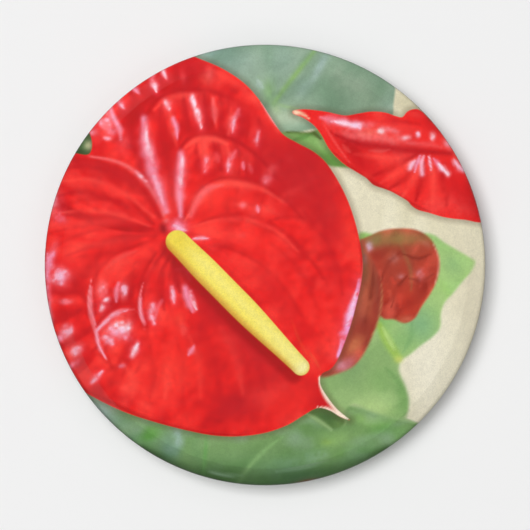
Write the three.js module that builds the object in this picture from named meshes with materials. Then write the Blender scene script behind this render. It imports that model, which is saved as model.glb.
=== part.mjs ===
// Round button-type fridge magnet, millimetres, +Z up.
//
// The magnet hangs on a steel door as it does in use: its face looks along -Y,
// its axis is the Y axis, and the origin is the centre of the magnet's back
// face, where it meets the door. Every piece is turned about that axis. Its
// profile is drawn as (radius, depth), where depth is the distance in front of
// the door, so that depth grows towards the face and y is minus the depth.
//
// From the face to the door: a clear film over a printed paper disc over a
// tinplate shell, all three turned over the rim and tucked behind the edge of a
// stamped back plate, then a foam adhesive pad and a ferrite magnet.

import * as THREE from 'three';

// ---- driving dimensions --------------------------------------------------

const BUTTON_DIAMETER = 57.15; // a two and a quarter inch button
const FACE_CURVE_RADIUS = 290; // crown of the face
const BEND_RADIUS = 0.8; // small roll from the crown into the bevelled edge
const BEVEL_TILT_DEG = 24; // slope of the bevelled edge
const BEVEL_WIDTH = 1.6; // its straight part, as seen from the front
const EDGE_RADIUS = 0.95; // roll from the bevelled edge into the side wall
const WALL_HEIGHT = 0.4; // straight band between the edge roll and the rim
const RIM_RADIUS = 0.95; // turn from the side wall to the hem
const HEM_TILT_DEG = 25; // slope of the hem, towards the inside
const SKIN_HEM_LENGTH = 1.9; // film and paper, behind the rim
const SHELL_HEM_LENGTH = 1.2; // the tinplate's own hem

const FILM_THICKNESS = 0.08;
const PAPER_THICKNESS = 0.12;
const SHELL_THICKNESS = 0.28;
const LAYER_GAP = 0.02; // between film, paper and shell

const PLATE_THICKNESS = 0.3;
const PLATE_LAP = 0.7; // how far the plate's edge covers the hem's end
const PLATE_EDGE_FLAT = 1.7; // flat flange outside the stiffening bead
const BEAD_WIDTH = 2.2;
const BEAD_HEIGHT = 0.5;
const PLATFORM_MARGIN = 4.4; // platform past the magnet's edge, at its foot
const PLATFORM_RISE = 0.32; // platform, towards the door
const PLATFORM_RAMP = 1.4; // width of the platform's sloping edge

const MAGNET_DIAMETER = 25.4;
const MAGNET_THICKNESS = 3.0;
const MAGNET_CHAMFER = 0.4;
const PAD_INSET = 1.1; // pad's edge, inside the magnet's edge
const PAD_THICKNESS = 0.8;
const SEAT_GAP = 0.04; // between plate, pad, magnet and hem

// ---- mesh fineness -------------------------------------------------------

const TURN_STEPS = 64; // a multiple of four, so the extremes are vertices
const CROWN_STEPS = 3;
const BEND_STEPS = 2;
const EDGE_STEPS = 4;
const RIM_STEPS = 6;
const BEAD_STEPS = 8;
const RAMP_STEPS = 4;

// ---- sizes that follow ---------------------------------------------------

const buttonRadius = BUTTON_DIAMETER / 2;
const magnetRadius = MAGNET_DIAMETER / 2;
const hemTilt = THREE.MathUtils.degToRad(HEM_TILT_DEG);

// The stack on the door, from the door outwards.
const padBack = MAGNET_THICKNESS + SEAT_GAP;
const platformBack = padBack + PAD_THICKNESS + SEAT_GAP;
const flangeBack = platformBack + PLATFORM_RISE;

// Where the skins' outer surface leaves the rim, and where their hem ends.
const hemStartRadius = buttonRadius - RIM_RADIUS - RIM_RADIUS * Math.sin(hemTilt);
const hemEndRadius = hemStartRadius - SKIN_HEM_LENGTH * Math.cos(hemTilt);
const plateRadius = hemEndRadius + PLATE_LAP;

// The rim's centre sits where the hem just clears the plate's front corner.
const rimDepth =
  flangeBack +
  PLATE_THICKNESS +
  SEAT_GAP / Math.cos(hemTilt) +
  RIM_RADIUS * Math.cos(hemTilt) -
  (hemStartRadius - plateRadius) * Math.tan(hemTilt);

// The bevel leaves the edge roll along its tangent, and the bend takes it up.
const bevelTilt = THREE.MathUtils.degToRad(BEVEL_TILT_DEG);
const edgeDepth = rimDepth + WALL_HEIGHT;
const bevelRadius = buttonRadius - EDGE_RADIUS * (1 - Math.sin(bevelTilt)) - BEVEL_WIDTH;
const bevelDepth = edgeDepth + EDGE_RADIUS * Math.cos(bevelTilt) + BEVEL_WIDTH * Math.tan(bevelTilt);
const bendCentreRadius = bevelRadius - BEND_RADIUS * Math.sin(bevelTilt);
const bendCentreDepth = bevelDepth - BEND_RADIUS * Math.cos(bevelTilt);

// The crown runs into the bend where their tangents agree.
const crownAngle = Math.asin(bendCentreRadius / (FACE_CURVE_RADIUS - BEND_RADIUS));
const crownCentreDepth =
  bendCentreDepth - (FACE_CURVE_RADIUS - BEND_RADIUS) * Math.cos(crownAngle);

// ---- profile helpers -----------------------------------------------------

/** Points on an arc about (radius, depth); angles are from +radius to +depth. */
function arc(centreRadius, centreDepth, size, from, to, steps) {
  const points = [];
  for (let i = 0; i <= steps; i += 1) {
    const angle = from + ((to - from) * i) / steps;
    points.push(
      new THREE.Vector2(
        centreRadius + size * Math.cos(angle),
        centreDepth + size * Math.sin(angle),
      ),
    );
  }
  return points;
}

/** The polyline moved sideways by a distance, with mitred corners. */
function offset(points, distance) {
  const last = points.length - 1;
  const normals = [];
  for (let i = 0; i < last; i += 1) {
    const along = points[i + 1].clone().sub(points[i]).normalize();
    normals.push(new THREE.Vector2(along.y, -along.x));
  }
  return points.map((point, i) => {
    const before = normals[Math.max(i - 1, 0)];
    const after = normals[Math.min(i, last - 1)];
    const mitre = before.clone().add(after);
    const scale = (2 * distance) / mitre.lengthSq();
    const moved = point.clone().addScaledVector(mitre, scale);
    if (point.x === 0) {
      moved.x = 0;
    }
    return moved;
  });
}

/** A sheet between two offsets of one polyline, from the axis to its edge. */
function sheet(points, near, far) {
  return [...offset(points, near), ...offset(points, far).reverse()];
}

/** The solid swept by a (radius, depth) outline that starts and ends on the axis. */
function turned(name, outline, look) {
  const profile = outline.map((point) => new THREE.Vector2(point.x, -point.y));
  const mesh = new THREE.Mesh(
    new THREE.LatheGeometry(profile, TURN_STEPS),
    new THREE.MeshStandardMaterial(look),
  );
  mesh.name = name;
  return mesh;
}

// ---- the three skins of the button ---------------------------------------

/** The outer surface from the middle of the face to the end of a hem. */
function skinCurve(hemLength) {
  const right = Math.PI / 2;
  const crown = arc(
    0,
    crownCentreDepth,
    FACE_CURVE_RADIUS,
    right,
    right - crownAngle,
    CROWN_STEPS,
  );
  crown[0].x = 0;
  const bend = arc(
    bendCentreRadius,
    bendCentreDepth,
    BEND_RADIUS,
    right - crownAngle,
    right - bevelTilt,
    BEND_STEPS,
  );
  const edge = arc(
    buttonRadius - EDGE_RADIUS,
    edgeDepth,
    EDGE_RADIUS,
    right - bevelTilt,
    0,
    EDGE_STEPS,
  );
  const rim = arc(
    buttonRadius - RIM_RADIUS,
    rimDepth,
    RIM_RADIUS,
    0,
    -right - hemTilt,
    RIM_STEPS,
  );
  const hemEnd = rim[rim.length - 1].clone();
  hemEnd.x -= hemLength * Math.cos(hemTilt);
  hemEnd.y += hemLength * Math.sin(hemTilt);
  return [...crown, ...bend.slice(1), ...edge, ...rim, hemEnd];
}

const filmInner = FILM_THICKNESS;
const paperOuter = filmInner + LAYER_GAP;
const paperInner = paperOuter + PAPER_THICKNESS;
const shellOuter = paperInner + LAYER_GAP;
const shellInner = shellOuter + SHELL_THICKNESS;

const clearFilm = turned('clear_film', sheet(skinCurve(SKIN_HEM_LENGTH), 0, filmInner), {
  color: 0xf6f6f8,
  roughness: 0.1,
  metalness: 0,
  transparent: true,
  opacity: 0.15,
});

const printedDisc = turned(
  'printed_disc',
  sheet(skinCurve(SKIN_HEM_LENGTH), paperOuter, paperInner),
  { color: 0xc42a26, roughness: 0.7, metalness: 0 },
);

const frontShell = turned(
  'front_shell',
  sheet(skinCurve(SHELL_HEM_LENGTH), shellOuter, shellInner),
  { color: 0xb4b6b8, roughness: 0.35, metalness: 1 },
);

// ---- the stamped back plate ----------------------------------------------

/** A smooth step from 0 to 1 as t goes from 0 to 1. */
function ease(t) {
  return 0.5 - 0.5 * Math.cos(Math.PI * t);
}

/** The plate's back surface from its middle to its edge. */
function plateCurve() {
  const footRadius = magnetRadius + PLATFORM_MARGIN;
  const beadOuter = plateRadius - PLATE_EDGE_FLAT;
  const beadInner = beadOuter - BEAD_WIDTH;
  const points = [new THREE.Vector2(0, platformBack)];
  for (let i = 0; i <= RAMP_STEPS; i += 1) {
    const t = i / RAMP_STEPS;
    points.push(
      new THREE.Vector2(
        footRadius - PLATFORM_RAMP * (1 - t),
        platformBack + PLATFORM_RISE * ease(t),
      ),
    );
  }
  for (let i = 0; i <= BEAD_STEPS; i += 1) {
    const t = i / BEAD_STEPS;
    points.push(
      new THREE.Vector2(beadInner + BEAD_WIDTH * t, flangeBack - BEAD_HEIGHT * ease(2 * t)),
    );
  }
  points.push(new THREE.Vector2(plateRadius, flangeBack));
  return points;
}

const backPlate = turned('back_plate', sheet(plateCurve(), 0, -PLATE_THICKNESS).reverse(), {
  color: 0xaeb0b2,
  roughness: 0.4,
  metalness: 1,
});

// ---- the adhesive pad and the magnet -------------------------------------

const padRadius = magnetRadius - PAD_INSET;

const adhesivePad = turned(
  'adhesive_pad',
  [
    new THREE.Vector2(0, padBack + PAD_THICKNESS),
    new THREE.Vector2(padRadius, padBack + PAD_THICKNESS),
    new THREE.Vector2(padRadius, padBack),
    new THREE.Vector2(0, padBack),
  ],
  { color: 0xe9e7e0, roughness: 0.9, metalness: 0 },
);

const magnetDisc = turned(
  'magnet_disc',
  [
    new THREE.Vector2(0, MAGNET_THICKNESS),
    new THREE.Vector2(magnetRadius - MAGNET_CHAMFER, MAGNET_THICKNESS),
    new THREE.Vector2(magnetRadius, MAGNET_THICKNESS - MAGNET_CHAMFER),
    new THREE.Vector2(magnetRadius, MAGNET_CHAMFER),
    new THREE.Vector2(magnetRadius - MAGNET_CHAMFER, 0),
    new THREE.Vector2(0, 0),
  ],
  { color: 0x34353a, roughness: 0.65, metalness: 0 },
);

// ---- the whole magnet ----------------------------------------------------

const group = new THREE.Group();
group.add(clearFilm, printedDisc, frontShell, backPlate, adhesivePad, magnetDisc);

export default group;
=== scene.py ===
"""A round printed fridge magnet, dressed for rendering over its fixed CAD frame.

The face looks along -Y, the picture is upright along +Z, and the magnet's back
face meets a pale steel door at y = 0. Lengths are in metres. The picture is drawn
in face units, where 1 is the button's radius, and its marks and outlines give their
places and widths in hundredths of that.
"""

from __future__ import annotations

import logging
from dataclasses import dataclass, field
from enum import Enum
from math import asin, cos, pi, radians, sin, tan
from typing import ClassVar, Protocol

import bpy
import numpy as np
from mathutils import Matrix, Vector
from numpy.typing import NDArray

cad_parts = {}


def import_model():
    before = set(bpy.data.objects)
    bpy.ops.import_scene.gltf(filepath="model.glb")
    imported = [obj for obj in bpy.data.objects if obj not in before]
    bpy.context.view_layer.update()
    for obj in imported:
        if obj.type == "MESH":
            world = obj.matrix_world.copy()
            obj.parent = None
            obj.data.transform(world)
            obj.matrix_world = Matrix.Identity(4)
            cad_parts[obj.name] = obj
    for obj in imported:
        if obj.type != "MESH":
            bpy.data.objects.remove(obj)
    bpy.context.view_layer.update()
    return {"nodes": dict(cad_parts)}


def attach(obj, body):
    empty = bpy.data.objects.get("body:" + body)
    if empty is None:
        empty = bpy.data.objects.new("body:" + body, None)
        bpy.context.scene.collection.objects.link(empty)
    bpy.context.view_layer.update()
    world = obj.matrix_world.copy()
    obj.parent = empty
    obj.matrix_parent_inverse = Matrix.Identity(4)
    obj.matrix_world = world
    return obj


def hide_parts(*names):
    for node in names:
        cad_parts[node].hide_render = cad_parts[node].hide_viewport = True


Array = NDArray[np.float64]
Whole = NDArray[np.int64]
Point = tuple[float, float]
Points = tuple[Point, ...]
Layers = tuple[tuple[float, int, float], ...]

LOG = logging.getLogger("fridge_magnet")
MM = 0.001
PERCENT = 0.01
HALF_PI = pi / 2
CODE_MAX = 255.0
TINY = 1e-9


# ---------------------------------------------------------------------------
# Drawing tools: plane curves, distances and smooth noise on the face
# ---------------------------------------------------------------------------


def display_colour(code: str) -> Array:
    """Turn a six-digit display code into three numbers from 0 to 1.

    Args:
        code: Red, green and blue as two hexadecimal digits each.

    Returns:
        The display colour.
    """
    return np.array([int(code[i : i + 2], 16) / CODE_MAX for i in (0, 2, 4)])


def linear_colour(display: Array) -> Array:
    """Turn display values into linear light.

    Args:
        display: Display values from 0 to 1, in any shape.

    Returns:
        Linear values in the same shape.
    """
    low = display / 12.92
    high = ((np.clip(display, 0.0, 1.0) + 0.055) / 1.055) ** 2.4
    return np.where(display <= 0.04045, low, high)


def ease(low: float, high: float, value: Array) -> Array:
    """Step smoothly from 0 at low to 1 at high; low may be the larger.

    Args:
        low: The value where the result is 0.
        high: The value where the result is 1.
        value: The values to step.

    Returns:
        The stepped values.
    """
    t = np.clip((value - low) / (high - low), 0.0, 1.0)
    return t * t * (3.0 - 2.0 * t)


def smooth_curve(points: Points, closed: bool = False, steps: int = 6) -> Array:
    """Draw a smooth curve through the points.

    Args:
        points: The points that the curve passes through, in hundredths.
        closed: Whether the last point runs on to the first.
        steps: Straight pieces between two neighbouring points.

    Returns:
        The curve's corners in face units, one row each.
    """
    p = np.array(points, dtype=float) * PERCENT
    if closed:
        p = np.vstack([p[-1], p, p[0], p[1]])
    else:
        p = np.vstack([2 * p[0] - p[1], p, 2 * p[-1] - p[-2]])
    t = (np.arange(steps) / steps)[:, None]
    spans = []
    for a, b, c, d in zip(p[:-3], p[1:-2], p[2:-1], p[3:]):
        square = (2 * a - 5 * b + 4 * c - d) * t**2
        cube = (3 * b - 3 * c + d - a) * t**3
        spans.append(0.5 * (2 * b + (c - a) * t + square + cube))
    if not closed:
        spans.append(p[-2][None, :])
    return np.vstack(spans)


@dataclass
class Near:
    """How a set of points lies to the nearest place on a curve."""

    away: Array
    share: Array
    east: Array
    north: Array


def nearest(u: Array, v: Array, line: Array, reach: float) -> Near:
    """Find each point's nearest place on a curve.

    Args:
        u: The points' places to the right.
        v: The points' places upwards.
        line: The curve's corners.
        reach: The distance past which a point counts as far.

    Returns:
        The distance, the share along the curve, and the offset from it.
    """
    away = np.full(u.shape, reach)
    share = np.zeros(u.shape)
    east = np.zeros(u.shape)
    north = np.zeros(u.shape)
    step = np.diff(line, axis=0)
    size = np.hypot(step[:, 0], step[:, 1])
    start = np.concatenate([[0.0], np.cumsum(size)])
    for (ax, ay), (dx, dy), length, begin in zip(line[:-1], step, size, start):
        if length == 0.0:
            continue
        close_u = np.abs(u - ax - dx / 2) < abs(dx) / 2 + reach
        close_v = np.abs(v - ay - dy / 2) < abs(dy) / 2 + reach
        pick = np.nonzero(close_u & close_v)[0]
        x = u[pick] - ax
        y = v[pick] - ay
        t = np.clip((x * dx + y * dy) / length**2, 0.0, 1.0)
        x = x - t * dx
        y = y - t * dy
        d = np.hypot(x, y)
        closer = d < away[pick]
        pick = pick[closer]
        away[pick] = d[closer]
        east[pick] = x[closer]
        north[pick] = y[closer]
        share[pick] = (begin + t[closer] * length) / start[-1]
    return Near(away, share, east, north)


def depth_inside(u: Array, v: Array, outline: Points, reach: float = 0.3) -> Array:
    """Measure how deep each point lies inside a closed outline.

    Args:
        u: The points' places to the right.
        v: The points' places upwards.
        outline: The points that the outline passes through, in hundredths.
        reach: The largest depth that is told apart.

    Returns:
        The depth, which is negative outside.
    """
    ring = smooth_curve(outline, closed=True)
    loop = np.vstack([ring, ring[:1]])
    hit = np.zeros(u.shape, dtype=bool)
    for (ax, ay), (bx, by) in zip(loop[:-1], loop[1:]):
        if ay != by:
            crossing = (bx - ax) * (v - ay) / (by - ay) + ax
            hit ^= ((ay > v) != (by > v)) & (u < crossing)
    away = nearest(u, v, loop, reach).away
    return np.where(hit, away, -away)


def noise(u: Array, v: Array, scale: float, seed: int) -> Array:
    """Make smooth, repeatable noise on the face.

    Args:
        u: The points' places to the right.
        v: The points' places upwards.
        scale: Bumps in one face unit.
        seed: The pattern's number.

    Returns:
        Values from -1 to 1.
    """
    size = 97
    table = np.random.default_rng(seed).uniform(-1.0, 1.0, (size, size))
    x = u * scale + size
    y = v * scale + size
    i = np.floor(x).astype(int)
    j = np.floor(y).astype(int)
    fx = ease(0.0, 1.0, x - i)
    fy = ease(0.0, 1.0, y - j)
    right = (i + 1) % size
    above = (j + 1) % size
    i = i % size
    j = j % size
    low = table[i, j] * (1 - fx) + table[right, j] * fx
    high = table[i, above] * (1 - fx) + table[right, above] * fx
    return low * (1 - fy) + high * fy


def texture(u: Array, v: Array, layers: Layers) -> Array:
    """Add up noise at several scales.

    Args:
        u: The points' places to the right.
        v: The points' places upwards.
        layers: Each layer's scale, pattern number and share.

    Returns:
        The sum at each point.
    """
    total = np.zeros(np.shape(u))
    for scale, seed, share in layers:
        total = total + share * noise(u, v, scale, seed)
    return total


# ---------------------------------------------------------------------------
# Marks: what the picture is painted with
# ---------------------------------------------------------------------------


LIGHT_FROM: Point = (-0.62, 0.78)
REACH = 3.0
FAR_SHARE = 0.99


@dataclass
class Canvas:
    """Points on the face and the display colour painted at each."""

    u: Array
    v: Array
    colour: Array

    @classmethod
    def plain(cls, u: Array, v: Array, code: str) -> "Canvas":
        """Start a canvas in one colour.

        Args:
            u: The points' places to the right.
            v: The points' places upwards.
            code: The colour's display code.

        Returns:
            The new canvas.
        """
        return cls(u, v, np.tile(display_colour(code), (u.size, 1)))

    def lay(self, code: str, amount: Array) -> None:
        """Lay a colour over the canvas.

        Args:
            code: The colour's display code.
            amount: How much covers each point, from 0 to 1.
        """
        share = np.clip(amount, 0.0, 1.0)[:, None]
        self.colour = self.colour * (1 - share) + display_colour(code) * share

    def wear(self, before: Array, kept: Array) -> None:
        """Let an earlier state show through the newest paint.

        Args:
            before: The colours from before that paint.
            kept: How much of the paint stays at each point.
        """
        share = np.clip(kept, 0.0, 1.0)[:, None]
        self.colour = before * (1 - share) + self.colour * share


class Mark(Protocol):
    """Anything that can be painted onto a canvas."""

    def onto(self, canvas: Canvas) -> None:
        """Paint the mark onto a canvas."""


@dataclass(frozen=True)
class Dab:
    """A soft oval touch of colour."""

    rough_edge: ClassVar[Layers] = ((30.0, 5, 1.0), (70.0, 6, 1.0))

    code: str
    at: Point
    size: Point
    turn: float = 0.0
    strength: float = 1.0
    ragged: float = 0.0

    def onto(self, canvas: Canvas) -> None:
        """Paint the dab.

        Args:
            canvas: The canvas to paint on.
        """
        c = cos(radians(self.turn))
        s = sin(radians(self.turn))
        x = canvas.u - self.at[0] * PERCENT
        y = canvas.v - self.at[1] * PERCENT
        wide = self.size[0] * PERCENT
        high = self.size[1] * PERCENT
        r = ((x * c + y * s) / wide) ** 2 + ((y * c - x * s) / high) ** 2
        if self.ragged:
            r = r + self.ragged * texture(canvas.u, canvas.v, self.rough_edge)
        canvas.lay(self.code, self.strength * np.exp(-np.maximum(r, 0.0)))


@dataclass(frozen=True)
class Mottle:
    """Uneven colour all over, drawn out along one direction."""

    finer: ClassVar[float] = 2.3

    code: str
    scale: float
    strength: float
    seed: int
    turn: float = 0.0
    stretch: float = 1.0

    def onto(self, canvas: Canvas) -> None:
        """Paint the mottling.

        Args:
            canvas: The canvas to paint on.
        """
        c = cos(radians(self.turn))
        s = sin(radians(self.turn))
        x = (canvas.u * c + canvas.v * s) / self.stretch
        y = canvas.v * c - canvas.u * s
        fine = (self.scale * self.finer, self.seed + 1, 0.5)
        tone = texture(x, y, ((self.scale, self.seed, 1.0), fine))
        canvas.lay(self.code, self.strength * np.maximum(tone, 0.0))


@dataclass(frozen=True)
class Stroke:
    """A brush stroke along a smooth curve, thinner at its ends."""

    run_out: ClassVar[float] = 0.4
    rough_edge: ClassVar[Layers] = ((36.0, 7, 1.0),)

    code: str
    points: Points
    width: float
    strength: float = 1.0
    ends: Point = (0.4, 0.4)
    ragged: float = 0.0
    crisp: float = 1.0

    def onto(self, canvas: Canvas) -> None:
        """Paint the stroke.

        Args:
            canvas: The canvas to paint on.
        """
        width = self.width * PERCENT
        reach = width * REACH
        near = nearest(canvas.u, canvas.v, smooth_curve(self.points), reach)
        first, last = self.ends
        w = width * (first + (1 - first) * ease(0.0, self.run_out, near.share))
        w = w * (last + (1 - last) * ease(1.0, 1.0 - self.run_out, near.share))
        if self.ragged:
            w = w * (1 + self.ragged * texture(canvas.u, canvas.v, self.rough_edge))
        amount = np.exp(-((near.away / np.maximum(w, TINY)) ** (2 * self.crisp)))
        amount[near.away >= reach * FAR_SHARE] = 0.0
        canvas.lay(self.code, self.strength * amount)


@dataclass(frozen=True)
class Fold(Stroke):
    """A soft stroke whose strength wanders, as a real fold's does."""

    usual: ClassVar[float] = 0.85
    drift: ClassVar[Layers] = ((17.0, 13, 0.45), (41.0, 14, 0.27))

    def onto(self, canvas: Canvas) -> None:
        """Paint the stroke with an uneven strength.

        Args:
            canvas: The canvas to paint on.
        """
        before = canvas.colour
        super().onto(canvas)
        canvas.wear(before, self.usual + texture(canvas.u, canvas.v, self.drift))


@dataclass(frozen=True)
class Glint(Stroke):
    """A broken shine on a glossy fold, with a pink glow round it."""

    usual: ClassVar[float] = 0.78
    gaps: ClassVar[Layers] = ((46.0, 8, 0.5), (95.0, 9, 0.35))
    halo: ClassVar[str] = "F2505C"
    glow: ClassVar[float] = 0.55
    spread: float = 2.1

    def onto(self, canvas: Canvas) -> None:
        """Paint the glow, then the shine with gaps worn into it.

        Args:
            canvas: The canvas to paint on.
        """
        wide = self.width * self.spread
        Stroke(self.halo, self.points, wide, self.glow * self.strength, (0.7, 0.7)).onto(canvas)
        before = canvas.colour
        super().onto(canvas)
        canvas.wear(before, self.usual + texture(canvas.u, canvas.v, self.gaps))


@dataclass(frozen=True)
class Crease:
    """A sunken vein, with the petal puffed up on both sides of it."""

    run_in: ClassVar[float] = 0.12
    run_out: ClassVar[float] = 0.2
    groove_share: ClassVar[float] = 0.22
    swell_end: ClassVar[float] = 2.99
    points: Points
    width: float
    lift: float
    line: float

    def relief(self, u: Array, v: Array) -> tuple[Array, Array]:
        """Work out the light and the dark line that the crease gives.

        Args:
            u: The points' places to the right.
            v: The points' places upwards.

        Returns:
            The light on its banks, below 0 in shade, and the line's darkness.
        """
        width = self.width * PERCENT
        near = nearest(u, v, smooth_curve(self.points), width * REACH)
        d = np.maximum(near.away, 1e-4)
        side = -(near.east * LIGHT_FROM[0] + near.north * LIGHT_FROM[1]) / d
        fade = ease(0.0, self.run_in, near.share) * ease(1.0, 1.0 - self.run_out, near.share)
        swell = (d / width) * np.exp(0.5 - 0.5 * (d / width) ** 2)
        swell = swell * (d < width * self.swell_end)
        groove = np.exp(-((d / (width * self.groove_share)) ** 2))
        return self.lift * side * swell * fade, self.line * groove * fade


@dataclass(frozen=True)
class Fan:
    """Fine folds that spread from the petal's hub, strongest to its left."""

    hub: Point = (-0.455, 0.15)
    folds: float = 7.5
    bend: float = 0.55
    left: float = 0.75
    elsewhere: float = 0.30
    seed: int = 51

    def relief(self, u: Array, v: Array) -> Array:
        """Work out the light that the folds give.

        Args:
            u: The points' places to the right.
            v: The points' places upwards.

        Returns:
            The light, below 0 in shade.
        """
        x = u - self.hub[0]
        y = v - self.hub[1]
        r = np.hypot(x, y)
        angle = np.arctan2(-x - y, y - x)
        a = (angle + self.bend * r) * self.folds + 40.0
        broad = noise(a, r * 1.4, 1.0, self.seed)
        fine = noise(a * 2.7, r * 2.2, 1.0, self.seed + 1)
        here = ease(-0.15, 0.15, angle) * ease(1.15, 0.8, angle)
        strength = self.elsewhere + (self.left - self.elsewhere) * here
        return strength * ease(0.03, 0.2, r) * (broad + 0.5 * fine)


@dataclass(frozen=True)
class Leaf:
    """A shape with a soft edge and marks of its own."""

    outline: Points
    code: str
    marks: tuple[Mark, ...]
    soft: float = 0.8

    def onto(self, canvas: Canvas) -> None:
        """Paint the leaf.

        Args:
            canvas: The canvas to paint on.
        """
        depth = depth_inside(canvas.u, canvas.v, self.outline)
        soft = self.soft * PERCENT
        cover = ease(-soft, soft, depth)[:, None]
        own = Canvas.plain(canvas.u, canvas.v, self.code)
        for mark in self.marks:
            mark.onto(own)
        canvas.colour = canvas.colour * (1 - cover) + own.colour * cover


@dataclass(frozen=True)
class Spadix:
    """The yellow spike: a rod with a round tip, lit from one side."""

    base: Point = (-0.395, 0.105)
    tip: Point = (0.162, -0.459)
    base_half: float = 0.052
    wide_half: float = 0.058
    tip_half: float = 0.038
    grain: Layers = ((110.0, 11, 0.06), (60.0, 12, 0.036))

    def paint(self, u: Array, v: Array) -> tuple[Array, Array]:
        """Paint the spike on its own.

        Args:
            u: The points' places to the right.
            v: The points' places upwards.

        Returns:
            Its display colour everywhere, and the depth inside it.
        """
        ax, ay = self.base
        bx, by = self.tip
        length = float(np.hypot(bx - ax, by - ay))
        dx = (bx - ax) / length
        dy = (by - ay) / length
        along = (u - ax) * dx + (v - ay) * dy
        across = (v - ay) * dx - (u - ax) * dy
        t = np.clip(along / length, 0.0, 1.0)
        half = self.base_half + (self.wide_half - self.base_half) * ease(0.0, 0.25, t)
        half = half + (self.tip_half - self.wide_half) * ease(0.5, 1.05, t)
        depth = half - np.hypot(across, along - t * length)
        x = np.clip(across / half, -1.0, 1.0)
        own = Canvas.plain(u, v, "F4E264")
        # a deeper base, a paler tip, the shaded side and the lit side
        own.lay("E8CF48", ease(0.25, 0.0, t) * 0.8)
        own.lay("F2E68A", ease(0.55, 1.0, t) * 0.8)
        own.lay("C98E34", ease(-0.3, -1.05, x) * 0.9)
        own.lay("E6D060", ease(0.55, 1.0, x) * 0.5)
        # the shine along it, on its tip and the shade round the tip
        shine = np.exp(-(((x - 0.25) / 0.4) ** 2)) * ease(0.0, 0.15, t)
        own.lay("F4EA90", shine * 0.5)
        own.lay("F6EEB0", np.exp(-(((along - length - 0.012) / 0.03) ** 2)) * 0.7)
        end = ease(0.02, 0.0, depth) * ease(0.9, 1.05, along / length)
        own.lay("D9BC58", end * 0.6)
        grain = texture(u, v, self.grain)
        own.lay("D8BC48", grain)
        own.lay("FBF6C0", -grain)
        return own.colour, depth


# ---------------------------------------------------------------------------
# The picture: a red flower, its leaves and the wall behind them. A colour is its
# display code; a patch of paint lies over the ones before it.
# ---------------------------------------------------------------------------

SPATHE: Points = (
    (-42, 100), (-32.5, 94.5), (-20, 89), (-10, 82.5), (-3, 75), (3, 66), (8, 59), (15, 54.8), (22, 51),
    (28, 45.5), (34, 36), (38.5, 26), (42, 14), (44, 2), (43.5, -7), (41.3, -17), (38.3, -28),
    (33.5, -41), (30, -46.5), (25.5, -49.2), (25, -54), (28.5, -60), (33, -65.5), (38.5, -70),
    (34, -68.5), (29, -65.5), (23.5, -64.5), (17, -68), (10, -72.2), (0, -75.7), (-12, -77.3),
    (-24, -76.8), (-37, -74.2), (-50, -70.8), (-63, -66.5), (-75, -61), (-86, -54.5), (-105, -40),
    (-120, 0), (-108, 47), (-90, 50.7), (-81, 49.7), (-78.5, 51.5), (-78.2, 56), (-80, 61), (-86, 72),
    (-70, 98),
)

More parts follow.
